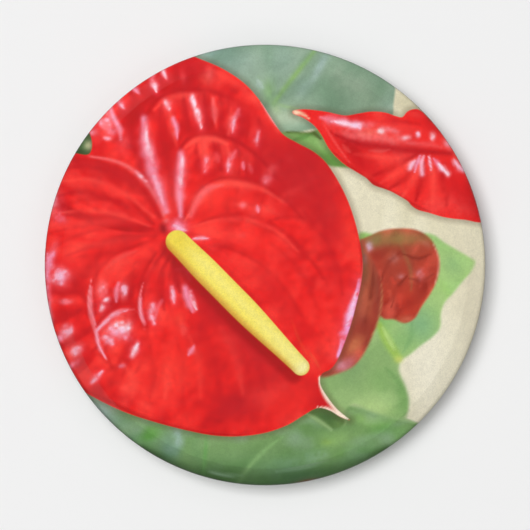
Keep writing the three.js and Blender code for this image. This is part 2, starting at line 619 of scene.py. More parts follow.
CREASES: tuple[Crease, ...] = (
    # upper lobe: the outer and inner arches and the veins that leave the hub
    Crease(((-46.5, 20), (-50, 33), (-53.5, 45), (-56, 56), (-55, 65), (-50, 73), (-43, 77.5), (-35, 79.5),
        (-26, 79), (-17, 76), (-8, 71.5), (0, 65)), 5, 0.75, 0.45),
    Crease(((-40.5, 20), (-41.2, 32), (-40.5, 44), (-39, 51), (-35, 56), (-29, 58.3), (-22, 58.3),
        (-15, 56.5), (-7, 52), (1, 45), (8, 37), (17, 26)), 4.5, 0.75, 0.5),
    Crease(((-37, 19), (-32, 30), (-26, 36.5), (-18, 39), (-9, 38), (0, 35), (10, 28), (20, 17)), 4, 0.5,
        0.4),
    Crease(((-34, 16), (-26, 20), (-16, 21.5), (-6, 19), (5, 14), (15, 7), (25, -3), (31, -15)), 4, 0.3,
        0.35),
    Crease(((-28, 9), (-18, 8), (-6, 3), (5, -6), (13, -17), (20, -30)), 4, 0.22, 0.3),
    # folds between the arches
    Crease(((-47.5, 74.5), (-45.5, 66), (-44, 56)), 3, 0.6, 0.3),
    Crease(((-37.5, 78.5), (-35.5, 70), (-33.5, 60)), 3, 0.7, 0.35),
    Crease(((-26, 78.5), (-24.5, 70), (-23.5, 60)), 3.5, 0.6, 0.4),
    Crease(((-16.5, 75.5), (-16.5, 67), (-17, 58)), 3, 0.7, 0.35),
    Crease(((-7.5, 71), (-7.5, 62), (-9, 54)), 3, 0.6, 0.35),
    Crease(((-31.5, 56.5), (-30, 48), (-28.5, 40)), 2.8, 0.6, 0.3),
    Crease(((-21.5, 57.5), (-20, 50), (-19, 41)), 2.8, 0.6, 0.3),
    Crease(((-12.5, 55), (-11.5, 47), (-11.5, 39)), 2.8, 0.55, 0.3),
    Crease(((-3, 48), (-2, 42), (-2, 36)), 2.8, 0.5, 0.3),
    Crease(((8, 37), (10, 33), (10, 28)), 3, 0.4, 0.3),
    Crease(((-12, 37), (-13, 30), (-14, 23)), 3, 0.35, 0.2),
    Crease(((0, 34), (-2, 26), (-3, 20)), 3, 0.35, 0.2),
    # margin folds outside the outer arch
    Crease(((-56, 60), (-64, 70), (-70, 80)), 4, 0.6, 0.25),
    Crease(((-54.5, 68), (-60, 78), (-64, 86)), 3.5, 0.6, 0.25),
    Crease(((-49.5, 74.5), (-53.5, 83), (-56, 92)), 3.5, 0.7, 0.25),
    Crease(((-43, 78.5), (-45.5, 87), (-47, 96)), 3, 0.6, 0.3),
    Crease(((-34.5, 80.5), (-35.5, 88), (-36, 96)), 3.5, 0.45, 0.3),
    Crease(((-26, 79.5), (-24, 86), (-22, 93)), 3.5, 0.35, 0.25),
    Crease(((-54.5, 50), (-63, 55), (-72, 64)), 3.5, 0.5, 0.2),
    # lower lobe, left of the spadix
    Crease(((-47, 12), (-58, 9), (-68, 4.5), (-75.5, -3), (-79.2, -12), (-79, -21), (-76.5, -30),
        (-75.5, -37), (-72, -44), (-66, -49)), 4.5, 0.7, 0.35),
    Crease(((-76.5, -29.5), (-71, -25), (-65, -20.5), (-57, -19.5)), 4.5, 0.8, 0.3),
    Crease(((-46.5, 8), (-52, 1), (-56, -8), (-57, -17), (-55.5, -25), (-53, -31)), 4, 0.7, 0.4),
    Crease(((-43, 4), (-47, -3), (-49, -11)), 3, 0.5, 0.3),
    Crease(((-41.5, 2), (-43.5, -9), (-43, -20)), 2.8, 0.6, 0.25),
    Crease(((-40, 1), (-38.5, -8), (-35.5, -17), (-31.5, -26)), 3, 0.75, 0.35),
    Crease(((-100, -12), (-91, -13), (-82, -11)), 4, 0.5, 0.25),
    Crease(((-98, -27), (-90, -24.5), (-81, -19)), 4, 0.6, 0.25),
    Crease(((-93, -39), (-86, -34.5), (-77, -29)), 3.5, 0.6, 0.25),
    Crease(((-86, -50), (-80, -45), (-75, -38)), 3, 0.5, 0.25),
    Crease(((-68, -9), (-67, -15), (-67.5, -21)), 2.8, 0.5, 0.2),
    Crease(((-55, -33), (-58, -42), (-64, -50)), 3.5, 0.35, 0.15),
    Crease(((-62, -45), (-66, -54), (-70, -61)), 3.5, 0.3, 0.15),
    Crease(((-45, -30), (-46, -45), (-50, -60)), 5, 0.2, 0.12),
    Crease(((-30, -28), (-26, -42), (-24, -58)), 6, 0.22, 0.12),
    Crease(((-18, -22), (-10, -38), (-6, -56)), 6, 0.2, 0.12),
    # broad folds from the hub to the left edge
    Crease(((-48, 24), (-58, 37.5), (-68, 44), (-82, 47.5), (-95, 46)), 5, 0.35, 0.5),
    Crease(((-48, 17.5), (-60, 27), (-74, 30), (-88, 28), (-100, 24)), 5.5, 0.3, 0.25),
    Crease(((-48, 14.5), (-62, 16.5), (-78, 15.5), (-92, 10), (-100, 5)), 5, 0.3, 0.25),
)

PALE = "F6CDE6"
GLINT = "FBE3F2"
VALLEY = "BC1C22"
RIDGE = "FF5A4E"

FOLDS: tuple[Mark, ...] = (
    # broad shade on the far side of the upper lobe
    Dab("B4242A", (18, 43), (15, 11), -25, 0.5, 0.25),
    Dab("BC2428", (5, 52), (9, 6), -30, 0.4, 0.2),
    Dab("C22428", (30, 22), (7, 16), 25, 0.45, 0.2),
    Dab("BE2428", (-24, -13), (15, 7), -42, 0.55, 0.2),
    Dab("C8262A", (-10, -62), (16, 8), 15, 0.3, 0.2),
    Dab("B82226", (-84, 33), (12, 3), -8, 0.45, 0.3),
    Dab("BA2226", (-78, 22), (14, 2), -5, 0.4, 0.3),
    Dab("B82226", (24, 22), (5, 8), 30, 0.45, 0.3),
    Dab("BA2226", (-2, -55), (10, 6), 20, 0.4, 0.3),
    Stroke("A8181C", ((22, 56), (32.5, 47.8), (38.5, 36), (42.1, 20), (43.7, 5), (43.6, -6)), 1.2, 0.7),
    Stroke("A81A1A", ((-84, -55), (-70, -61.8), (-52, -70), (-30, -75.5), (-11, -77)), 1.2, 0.6),
    Dab("FF4840", (3, -57), (9, 4), 20, 0.5, 0.4),
    Dab("B01E22", (-12.5, -61), (3, 1.5), -20, 0.6, 0.5),
    Dab("B01E22", (-22, -70), (3, 1.2), -10, 0.5, 0.5),
    Dab("FF5A50", (-62, -56), (4, 2), -35, 0.5, 0.5),
    Dab("FF5A50", (-55, -63), (4, 1.5), -25, 0.5, 0.5),
    Dab("EC4444", (12, 47), (3.5, 2), -35, 0.6, 0.5),
    Dab("EC4444", (20, 40), (4, 2), -40, 0.5, 0.5),
    Dab("E6403E", (5, 42), (5, 1.8), -20, 0.5, 0.5),
    Dab("EE4A46", (10, 29), (4, 1.6), -25, 0.5, 0.5),
    Dab("EA4440", (19, 31), (3.5, 1.6), -40, 0.5, 0.5),
    Dab("F04E46", (4, 24), (5, 1.4), -20, 0.45, 0.5),
    Fold(VALLEY, ((0, 32), (9, 35), (18, 35), (25, 29)), 1.4, 0.45),
    Fold(VALLEY, ((2, 20), (11, 22), (19, 20), (26, 13)), 1.4, 0.45),
    Fold(VALLEY, ((8, 46), (15, 44), (22, 37)), 1.4, 0.4),
    Fold(VALLEY, ((4, 37), (13, 29), (21, 17)), 3, 0.4),
    Fold(VALLEY, ((15, 36), (23, 25), (29, 10)), 3, 0.3),
    # valleys of the margin
    Fold(VALLEY, ((-33.5, 95), (-33.5, 88), (-33, 81.5)), 2.1, 0.75),
    Fold(VALLEY, ((-39.5, 93), (-40, 86), (-41, 80)), 1.7, 0.65),
    Fold(VALLEY, ((-48.5, 88), (-47, 83), (-47, 78.5)), 1.5, 0.6),
    Fold(VALLEY, ((-52.5, 88), (-51.5, 82), (-53, 76), (-55.5, 69)), 2.2, 0.65),
    Fold(VALLEY, ((-61, 79), (-58.5, 72), (-57.5, 64)), 2.4, 0.65),
    Fold(VALLEY, ((-66.5, 74), (-63.5, 66), (-60, 57)), 2.2, 0.6),
    Fold(VALLEY, ((-61, 57), (-57, 47), (-53.5, 38), (-49, 28)), 2.2, 0.65),
    # valleys between the arches
    Fold(VALLEY, ((-47.5, 70), (-47, 60), (-45, 50), (-43, 40), (-42, 31)), 2.6, 0.6),
    Fold(VALLEY, ((-37, 77.5), (-36.5, 70), (-34.5, 62)), 1.7, 0.65),
    Fold(VALLEY, ((-27.5, 77.5), (-26.5, 70), (-25.5, 61)), 2.3, 0.8),
    Fold(VALLEY, ((-20, 76), (-19.5, 69), (-20, 61)), 2.4, 0.7),
    Fold(VALLEY, ((-11.5, 71), (-10, 63), (-13, 55)), 3, 0.65),
    Fold(VALLEY, ((-3, 66), (-1, 58), (-2, 50)), 2.8, 0.55),
    Fold(VALLEY, ((-23.5, 56), (-21.5, 50), (-20, 43)), 2, 0.65),
    Fold(VALLEY, ((-31.5, 52), (-30.5, 45), (-29.5, 40)), 1.5, 0.45),
    Fold(VALLEY, ((-12.5, 53), (-9, 47), (-8.5, 41)), 2, 0.55),
    Fold(VALLEY, ((-4, 47), (-2.5, 40)), 2, 0.5),
    # the arches' own grooves
    Fold(VALLEY, ((-51, 73), (-43, 78), (-33, 79.5), (-24, 78), (-15, 74.5)), 1.3, 0.6),
    Fold(VALLEY, ((-38.5, 53), (-34, 57.8), (-27, 59.3), (-20, 58.8), (-13, 56.2), (-6, 51.5), (0, 45.5),
        (5, 39)), 1.3, 0.7),
    Fold(VALLEY, ((-30, 33.5), (-22, 38.8), (-12, 39.5), (-2, 37), (8, 31), (17, 21)), 1.2, 0.5),
    Fold(VALLEY, ((-30, 19), (-18, 22.8), (-6, 21.5), (6, 16.5), (17, 7), (26, -6)), 1.2, 0.45),
    # crests that catch the light
    Fold(RIDGE, ((-50, 70), (-45, 74.5), (-38, 76.5), (-31, 76.5)), 1.6, 0.6),
    Fold(RIDGE, ((-43, 70), (-41.5, 62), (-40, 54)), 1.8, 0.5),
    Fold(RIDGE, ((-32, 75), (-30, 68), (-28.5, 61)), 1.8, 0.6),
    Fold(RIDGE, ((-23.5, 75), (-22.5, 68), (-22, 62)), 1.4, 0.7),
    Fold(RIDGE, ((-15.5, 71), (-15.5, 64), (-16.5, 59)), 1.8, 0.6),
    Fold(RIDGE, ((-36, 53), (-30, 56.8), (-23, 56.8), (-17, 54.5)), 1.7, 0.75),
    Fold(RIDGE, ((-27, 55), (-26.5, 48), (-26, 42)), 1.8, 0.5),
    Fold(RIDGE, ((-17, 53), (-15.5, 47), (-15, 42)), 1.8, 0.5),
    Fold(RIDGE, ((-36, 20), (-31, 28.5), (-25, 34.5), (-17, 36.6), (-8, 36), (0, 33.5), (8, 28.5)), 1.7,
        0.8),
    Fold(RIDGE, ((-33, 17), (-25, 19.5), (-15, 20.5), (-5, 19.5), (6, 14.5), (15, 6)), 1.4, 0.5),
    Fold(RIDGE, ((-25, 88.5), (-15, 83), (-6, 76.5), (1, 68), (6, 60)), 2.6, 0.4),
    Dab("F8604E", (-26.2, 84.5), (2.8, 5), 0, 0.6, 0.4),
    Dab("FF5A4C", (-20.5, 84.5), (2, 4), 0, 0.35, 0.4),
    Dab("FF4C42", (-20, 13), (10, 3), -8, 0.45, 0.3),
    Dab("FF4A40", (14, 33), (5, 2), 25, 0.4, 0.4),
    # folds from the hub towards the left edge
    Fold(VALLEY, ((-47, 21.5), (-53, 30), (-60, 36.5), (-69, 42), (-80, 45), (-90, 44)), 2.1, 0.75,
        (0.6, 0.5)),
    Fold(RIDGE, ((-50, 21.5), (-60, 30), (-70, 35.5), (-80, 38.5), (-91, 38)), 1.6, 0.6),
    Fold(VALLEY, ((-50, 18.5), (-60, 25), (-72, 30.5), (-84, 33), (-94, 31)), 1.6, 0.6),
    Fold(RIDGE, ((-52, 17.5), (-64, 22), (-78, 24.5), (-93, 23.5)), 1.4, 0.5),
    Fold(VALLEY, ((-50, 16), (-63, 18.5), (-78, 18.5), (-95, 15)), 1.3, 0.45),
    Fold(VALLEY, ((-49, 13), (-62, 12.5), (-76, 9), (-90, 4)), 1.4, 0.4),
    # below the hub
    Fold(VALLEY, ((-45.5, 6), (-50.5, -1), (-54.5, -9), (-55.8, -18)), 2, 0.65),
    Fold(VALLEY, ((-43, 4), (-46, -3), (-46.5, -12), (-45.5, -20)), 1.7, 0.55),
    Stroke("A81820", ((-41, 3), (-40.5, -5), (-38.5, -12)), 2, 0.7),
    Fold(VALLEY, ((-37.5, 0), (-34.5, -8), (-29, -16), (-20, -26)), 3, 0.6),
    # puffed cells at the lower left
    Fold(VALLEY, ((-99, -11.5), (-90, -12), (-83, -12.5), (-80.5, -17)), 2, 0.65),
    Fold(VALLEY, ((-97, -25.5), (-90, -23), (-83, -20)), 1.8, 0.5),
    Fold(VALLEY, ((-93, -37), (-86, -33.5), (-79, -28.5)), 2, 0.65),
    Fold(VALLEY, ((-87, -47), (-81, -42.5), (-76, -37)), 1.8, 0.6),
    Fold(VALLEY, ((-60, -17.5), (-67, -18.5), (-73, -23.5), (-76, -27.5)), 1.5, 0.6),
    Fold(VALLEY, ((-75.5, -3), (-77, -12), (-76.5, -22)), 1.4, 0.5),
    Fold(VALLEY, ((-70, -32), (-72, -39), (-69, -46)), 2, 0.5),
    Fold(VALLEY, ((-60, -31), (-62, -38), (-66, -43)), 1.8, 0.45),
    Fold(VALLEY, ((-53, -30), (-54, -40), (-58, -48)), 2.2, 0.35),
    Stroke("F89AA2", ((-78.2, -6), (-79.6, -14), (-79, -22), (-76.5, -30), (-74.5, -37), (-71.5, -43)), 0.6,
        0.75),
    Stroke("F89AA2", ((-59, -20), (-66, -20.5), (-72, -25), (-76, -30)), 0.6, 0.7),
    Stroke("F89AA2", ((-55, -8), (-56.6, -16), (-56, -23), (-54, -29)), 0.6, 0.7),
    Stroke("F05A58", ((-72, -2), (-66, 3), (-58, 6.5)), 1.2, 0.5),
    # soft puffs on the right of the hub, and folds that run down from it
    Dab("FF6058", (-10, 27), (5, 1.8), -10, 0.5, 0.5),
    Dab("FF6E66", (-4, 24.5), (2, 3), -20, 0.5, 0.5),
    Dab("FF5C52", (-11, 13.5), (6, 2.2), -12, 0.5, 0.5),
    Dab("FF564C", (9, 10), (5, 2), -30, 0.4, 0.5),
    Dab("FF5A50", (13, 33.5), (4, 1.6), 25, 0.5, 0.5),
    Dab("FA443A", (22, 7), (3, 5), -25, 0.4, 0.5),
    Dab("FA443A", (4, -3), (6, 3), -35, 0.4, 0.5),
    Fold(VALLEY, ((2, 10), (11, 3), (19, -8), (24, -20)), 1.6, 0.45),
    Fold(VALLEY, ((18, 24), (27, 12), (33, -2), (35, -14)), 1.6, 0.45),
    Fold(VALLEY, ((-52, -36), (-50, -48), (-52, -60)), 2.2, 0.45),
    Fold(RIDGE, ((-46, -36), (-44, -48), (-45, -60)), 2.2, 0.4),
    Fold(VALLEY, ((-40, -33), (-37, -46), (-37, -60)), 2.2, 0.45),
    Fold(RIDGE, ((-34, -32), (-30, -45), (-29, -60)), 2.2, 0.35),
    Fold(VALLEY, ((-27, -30), (-22, -44), (-20, -60)), 2.4, 0.4),
    Fold(RIDGE, ((-20, -28), (-13, -42), (-10, -58)), 2.4, 0.35),
    Fold(VALLEY, ((-12, -27), (-4, -40), (0, -56)), 2.4, 0.4),
    Fold(RIDGE, ((-64, -44), (-60, -52), (-60, -60)), 2, 0.4),
    Glint("F8B4D4", ((-98.5, 5), (-98, 0), (-98.5, -5)), 1.4, 0.8),
    Glint("F8B4D4", ((-93, -2), (-91.5, -5), (-92, -8.5)), 2, 0.7),
    Glint("F4A0BC", ((-98.5, -11), (-98, -15), (-97.5, -19)), 1.4, 0.7),
    Dab("F06A6E", (-95.5, 26), (2, 5), 0, 0.6, 0.5),
)

PETAL_MARKS: tuple[Mark, ...] = (
    # broad light and dark
    Dab("BE2228", (10, 42), (22, 12), -32, 0.75),
    Dab("C42428", (20, 50), (10, 6), -25, 0.7),
    Dab("C8262A", (28, 27), (6, 16), 10, 0.45),
    Dab("CE2428", (-13, 72), (10, 3.5), -30, 0.55),
    Dab("C62428", (-32, 90), (9, 5), -20, 0.6),
    Dab("C42226", (-30, 80), (12, 3), 0, 0.4),
    Dab("C22226", (-70, 42), (16, 4), -22, 0.6),
    Dab("C42428", (-90, 45), (10, 6), 5, 0.55),
    Dab("C6262A", (-6, -36), (10, 26), 42, 0.85),
    Dab("BE242A", (-12, -64), (10, 6), 5, 0.6),
    Dab("CA262A", (-22, -12), (5, 14), 42, 0.7),
    Dab("D22628", (2, -8), (5, 12), 35, 0.55),
    Dab("CC2428", (30, -2), (4, 16), 25, 0.5),
    Dab("D42628", (10, -20), (4, 12), 35, 0.4),
    Dab("D02428", (-90, -2), (5, 10), 0, 0.2),
    Dab("FA3A30", (-22, 28), (12, 5), 5, 0.6),
    Dab("FA342C", (-5, 12), (20, 4), -20, 0.55),
    Dab("F8382E", (-40, -45), (18, 12), 0, 0.45),
    Dab("F6362E", (12, -60), (14, 6), 20, 0.4),
    Dab("F6362C", (38, 16), (3, 16), 12, 0.5),
    Dab("F23C36", (-72, 34.5), (16, 1.8), -14, 0.55),
    Dab("F0443E", (-78, 19), (18, 2.2), 3, 0.6),
    Dab("F2483F", (-72, 10), (18, 2), 10, 0.5),
    Dab("F0463E", (-70, 0), (10, 4), 15, 0.45),
    Dab("F4504A", (-43, 30), (3, 10), 6, 0.35),
    # the hub
    Dab("8E1A20", (-45.8, 16.5), (1.6, 2.6), 15, 0.9),
    Dab("D2A8B4", (-44.5, 20), (1.2, 1.2), 0, 0.4),
    Dab("F2A8CC", (-39, 17.5), (3.5, 2.8), 0, 0.85, 0.3),
    Glint(PALE, ((-41, 18), (-38.5, 16.5), (-35.5, 15.5)), 1.2, 0.8),
    Glint(PALE, ((-32.5, 11.8), (-29, 12.2), (-25.5, 11.8)), 0.8, 0.9),
    # light line along the lobe's edge
    Stroke("F0787A", ((-79, 49), (-70, 47.5), (-63, 45), (-57.5, 41), (-52.5, 35.5), (-48, 28),
        (-45.5, 22)), 0.9, 0.75, (0.6, 0.6)),
    Glint(GLINT, ((-58.5, 42.5), (-55.5, 39.5), (-53.5, 37.5)), 0.7, 0.9),
    # long streaks on the arches
    Stroke("F2A2BE", ((-54.8, 66), (-54, 56), (-51.5, 45), (-48, 34), (-44.5, 24)), 2.6, 0.85, (0.7, 0.5),
        0.3),
    Glint(GLINT, ((-53.7, 63), (-53, 54), (-50.5, 46)), 1.3, 0.8, (0.6, 0.2), 0.4),
    Glint(PALE, ((-50, 40), (-47.5, 33), (-45.5, 26)), 1.4, 0.7, (0.5, 0.3), 0.4),
    Stroke("F2A2BE", ((-37.8, 50), (-38.3, 42), (-38.5, 33), (-38, 22)), 2.1, 0.85, (0.8, 0.5), 0.2),
    Glint(GLINT, ((-37.2, 49), (-37.7, 42), (-38, 35)), 1.1, 0.8, (0.8, 0.4), 0.3),
    Stroke("F4757C", ((-33.5, 22), (-31, 28), (-28, 32.5), (-24, 35), (-19, 36)), 2, 0.6, (0.6, 0.2)),
    # pads inside the arches
    Glint(GLINT, ((-45, 73.5), (-44, 72), (-43, 70.5)), 1.2, 0.95, (0.8, 0.6), 0.3),
    Stroke("F5A4C6", ((-41.5, 66), (-40, 62), (-39.5, 57)), 1.4, 0.8, (0.7, 0.4), 0.4),
    Glint(GLINT, ((-32.7, 75.5), (-31.5, 72), (-30, 67), (-28.7, 62)), 1.35, 1, (0.9, 0.4), 0.35),
    Stroke("F08C98", ((-23.5, 75), (-23, 70), (-22.5, 64)), 1.4, 0.35, (0.6, 0.4), 0.4),
    Glint(PALE, ((-14, 65.5), (-14.3, 63), (-14.5, 60)), 1.4, 0.75, (0.7, 0.5), 0.5),
    Stroke("F29AB2", ((-12, 70), (-13.5, 67)), 1.4, 0.45, (0.7, 0.5), 0.5),
    Glint(PALE, ((-3, 60), (-3.5, 57), (-3.5, 54)), 1.05, 0.65, (0.7, 0.5), 0.5),
    Glint(PALE, ((-26.5, 47.5), (-26.8, 45), (-27, 42.5)), 1.25, 0.85, (0.8, 0.6), 0.4),
    Stroke("F07C88", ((-22, 50), (-21, 47)), 2, 0.3, (0.7, 0.5), 0.4),
    Glint(PALE, ((-16, 47.5), (-16.2, 45), (-16.5, 42.5)), 1.25, 0.8, (0.6, 0.6), 0.4),
    Stroke("F29AB2", ((-13.5, 51), (-15, 48)), 1.4, 0.45, (0.7, 0.5), 0.5),
    Stroke("F5A4C6", ((-10, 46), (-9.5, 43)), 0.9, 0.6, (0.7, 0.5), 0.4),
    Stroke("F08090", ((-7, 45), (-6, 42)), 1.2, 0.35, (0.7, 0.5), 0.4),
    Dab("F090A4", (1, 38.5), (2.2, 2), 40, 0.65, 0.4),
    Dab("F06A6C", (3, 43), (3, 1.8), 40, 0.4, 0.3),
    Dab("F08A98", (-10, 27), (1.4, 1.2), 0, 0.6, 0.4),
    Stroke("F5A4C6", ((-3.5, 26.5), (-3, 24)), 0.8, 0.7, (0.7, 0.5), 0.4),
    Dab("F4606A", (-10, 13.5), (2, 1), 0, 0.4, 0.3),
    # margin, upper left
    Glint(GLINT, ((-51.5, 86.5), (-50.5, 83), (-49, 78)), 1.2, 0.95, (0.9, 0.3), 0.4),
    Glint(GLINT, ((-46.5, 89), (-45.5, 86.5), (-44.5, 84)), 1, 0.9, (0.9, 0.4), 0.4),
    Stroke("F4A6C4", ((-60, 80), (-58.5, 79), (-57, 77.5)), 1.2, 0.8, (0.6, 0.4), 0.3),
    Glint(PALE, ((-67, 75.5), (-65.5, 73.5), (-64, 71)), 1.4, 0.9, (0.9, 0.5), 0.4),
    Stroke("F5B4D2", ((-70, 71), (-68, 66), (-65.5, 61), (-65, 56)), 1.1, 0.75, (0.9, 0.3), 0.4),
    Dab(PALE, (-72.5, 65.5), (3.5, 3), -50, 0.8, 0.7),
    Dab("F4A2C0", (-69.5, 60), (2.4, 2), 0, 0.5, 0.5),
    Dab(PALE, (-77.5, 60), (1.8, 1.6), 0, 0.7, 0.6),
    Dab(PALE, (-71, 57.2), (1.6, 1), -20, 0.7, 0.6),
    Dab("F07A84", (-64, 55), (3, 5), 10, 0.35, 0.4),
    Dab("F06468", (-37, 85), (1.4, 3), 10, 0.4),
    Dab("F06A6C", (-25, 86), (2, 3), 10, 0.45),
    # left edge
    Dab("F2A0B4", (-95, 29), (3, 3.5), 0, 0.6, 0.6),
    Dab("F084A0", (-93, 22), (3, 3), 0, 0.5, 0.6),
    Dab("F2A0C0", (-96.5, 4), (1.6, 5), -20, 0.8, 0.5),
    Dab(PALE, (-93, -5), (3.5, 3.5), 0, 0.75, 0.8),
    Dab("F29AB8", (-98.5, -7), (1.4, 5), 0, 0.7, 0.5),
    Dab("F09AAC", (-90, -16.5), (3, 1.2), 0, 0.6, 0.5),
    Dab(PALE, (-97.5, -22), (1.4, 4), 15, 0.7, 0.4),
    Dab(PALE, (-90, -30), (3, 2.6), 40, 0.75, 0.6),
    Dab("F4AACA", (-93.5, -33.5), (2, 1.4), 20, 0.7, 0.5),
    # lower lobe pads
    Stroke("F58C98", ((-78.5, -10), (-78.5, -19), (-76.5, -27)), 0.9, 0.8, (0.6, 0.6), 0.3),
    Stroke("F6A6BC", ((-76, -30), (-75, -36), (-72, -42)), 0.8, 0.85, (0.8, 0.4), 0.3),
    Dab(PALE, (-73.5, -11), (2, 3), -10, 0.7, 0.6),
    Glint(GLINT, ((-71.5, -15.5), (-73, -18), (-74, -20.5)), 1.5, 0.9, (0.8, 0.7), 0.4),
    Stroke("F29CB8", ((-66, -8), (-67, -12), (-67, -16.5)), 1, 0.7, (0.6, 0.6), 0.4),
    Dab(PALE, (-63.5, -11.5), (1.6, 3.2), 0, 0.8, 0.5),
    Glint(PALE, ((-75.5, -29), (-71.5, -25.5), (-67, -22), (-62, -20.5)), 1, 0.7, (0.9, 0.4), 0.4),
    Dab(GLINT, (-64.5, -28), (4, 3.2), 20, 0.9, 0.9),
    Dab("F4AACA", (-66, -31), (5, 2.4), -20, 0.6, 0.8),
    Glint(PALE, ((-72, -32.5), (-70, -34), (-69, -35.5)), 1.6, 0.85, (0.8, 0.7), 0.4),
    Stroke("F6A6BC", ((-56, -15), (-56, -21), (-54, -27)), 0.8, 0.75, (0.6, 0.4), 0.3),
    Glint(PALE, ((-50.5, -18), (-51, -22), (-50, -26.5)), 1.4, 0.85, (0.7, 0.5), 0.4),
    Stroke("F29AB2", ((-46.5, -16), (-48.5, -20), (-49.5, -24.5)), 1.2, 0.4, (0.6, 0.4), 0.4),
    Glint(GLINT, ((-57.5, -35.5), (-58.5, -38), (-60, -41)), 1.35, 0.95, (0.7, 0.7), 0.3),
    Glint(PALE, ((-42, -10), (-41.5, -13), (-41, -17)), 1.2, 0.85, (0.7, 0.5), 0.4),
    Stroke("F2A8CC", ((-36, -10.5), (-34.5, -16), (-32.5, -21)), 1.8, 0.75, (0.8, 0.4), 0.4),
    Glint(GLINT, ((-33.5, -12), (-32.5, -16), (-31, -20)), 0.85, 0.8, (0.7, 0.5), 0.3),
    Stroke("F26E76", ((-40, -2), (-36, -2), (-34, -7)), 1.4, 0.3, (0.5, 0.5)),
    Stroke("F5A4C6", ((-32, -36.5), (-33.5, -39), (-34.5, -40.5)), 1.2, 0.7, (0.7, 0.5), 0.4),
    Dab("F04A3A", (-38.5, -24), (2, 3), 0, 0.5),
    Dab("F06460", (-37, -29), (2, 3), 0, 0.4, 0.5),
    Dab(PALE, (-85, -38.5), (3, 2), 35, 0.75, 0.7),
    Dab("F4A2C0", (-87, -45), (3, 2), 30, 0.6, 0.7),
    Dab("F4A2C0", (-64.5, -45.5), (1.4, 1), 20, 0.75, 0.4),
    Glint(PALE, ((-73.5, -48), (-76, -50.5), (-78, -53)), 1.1, 0.8, (0.5, 0.9), 0.4),
    # pink edge on the right margin
    Glint("F0A6D8", ((42.5, -7), (41, -15), (38.5, -24), (35.5, -33), (33, -41)), 2.4, 0.95, (0.35, 0.4),
        0.25, 1.6),
    Stroke("FAD8F2", ((41, -12), (39.5, -19), (37, -27)), 1.1, 0.7, (0.4, 0.4), 0.4),
    Stroke("E8888C", ((44.5, 4), (44, -4), (42, -12)), 0.7, 0.4, (0.5, 0.5)),
    # thin light edge at the upper right
    Stroke("F7C8CC", ((-1.5, 73.5), (2, 68), (6, 61.5)), 0.65, 0.9, (0.6, 0.3)),
    # faint scratches below the right lobe
    Stroke("E4502E", ((12, -25), (16, -35), (21, -44)), 0.6, 0.5),
    Stroke("E86A40", ((19, -38), (22, -42), (25, -47)), 0.5, 0.5),
    # the tip
    Stroke("FBEFD8", ((24.5, -50.5), (25.2, -54.5), (28, -60), (32, -64.8), (37, -69)), 1.1, 0.95, (0.5, 1),
        0, 1.5),
    Stroke("FBEFD8", ((23.5, -64.2), (28, -65), (32.5, -67.2), (37, -69.2)), 1.1, 0.95, (0.3, 1), 0, 1.5),
)

SECOND: Points = (
    (12.5, 69.5), (16.5, 70.2), (21, 70), (28, 69), (36, 67.4), (42, 68.3), (48, 69.2), (54, 68.8),
    (59, 67.2), (62, 66.8), (64.5, 69.5), (68.5, 70.5), (71.5, 69), (74.5, 66.5), (80, 66), (100, 55),
    (110, 30), (100, 19.8), (90, 20.4), (81, 21.5), (74, 23.5), (69, 24.8), (66, 26.8), (64, 29),
    (58, 32.5), (54, 34.2), (49, 36), (45.5, 39.2), (41, 42), (36, 45.2), (32, 48.7), (28.5, 53),
    (25.5, 58.5), (22, 63), (17, 66.5), (13, 68),
)

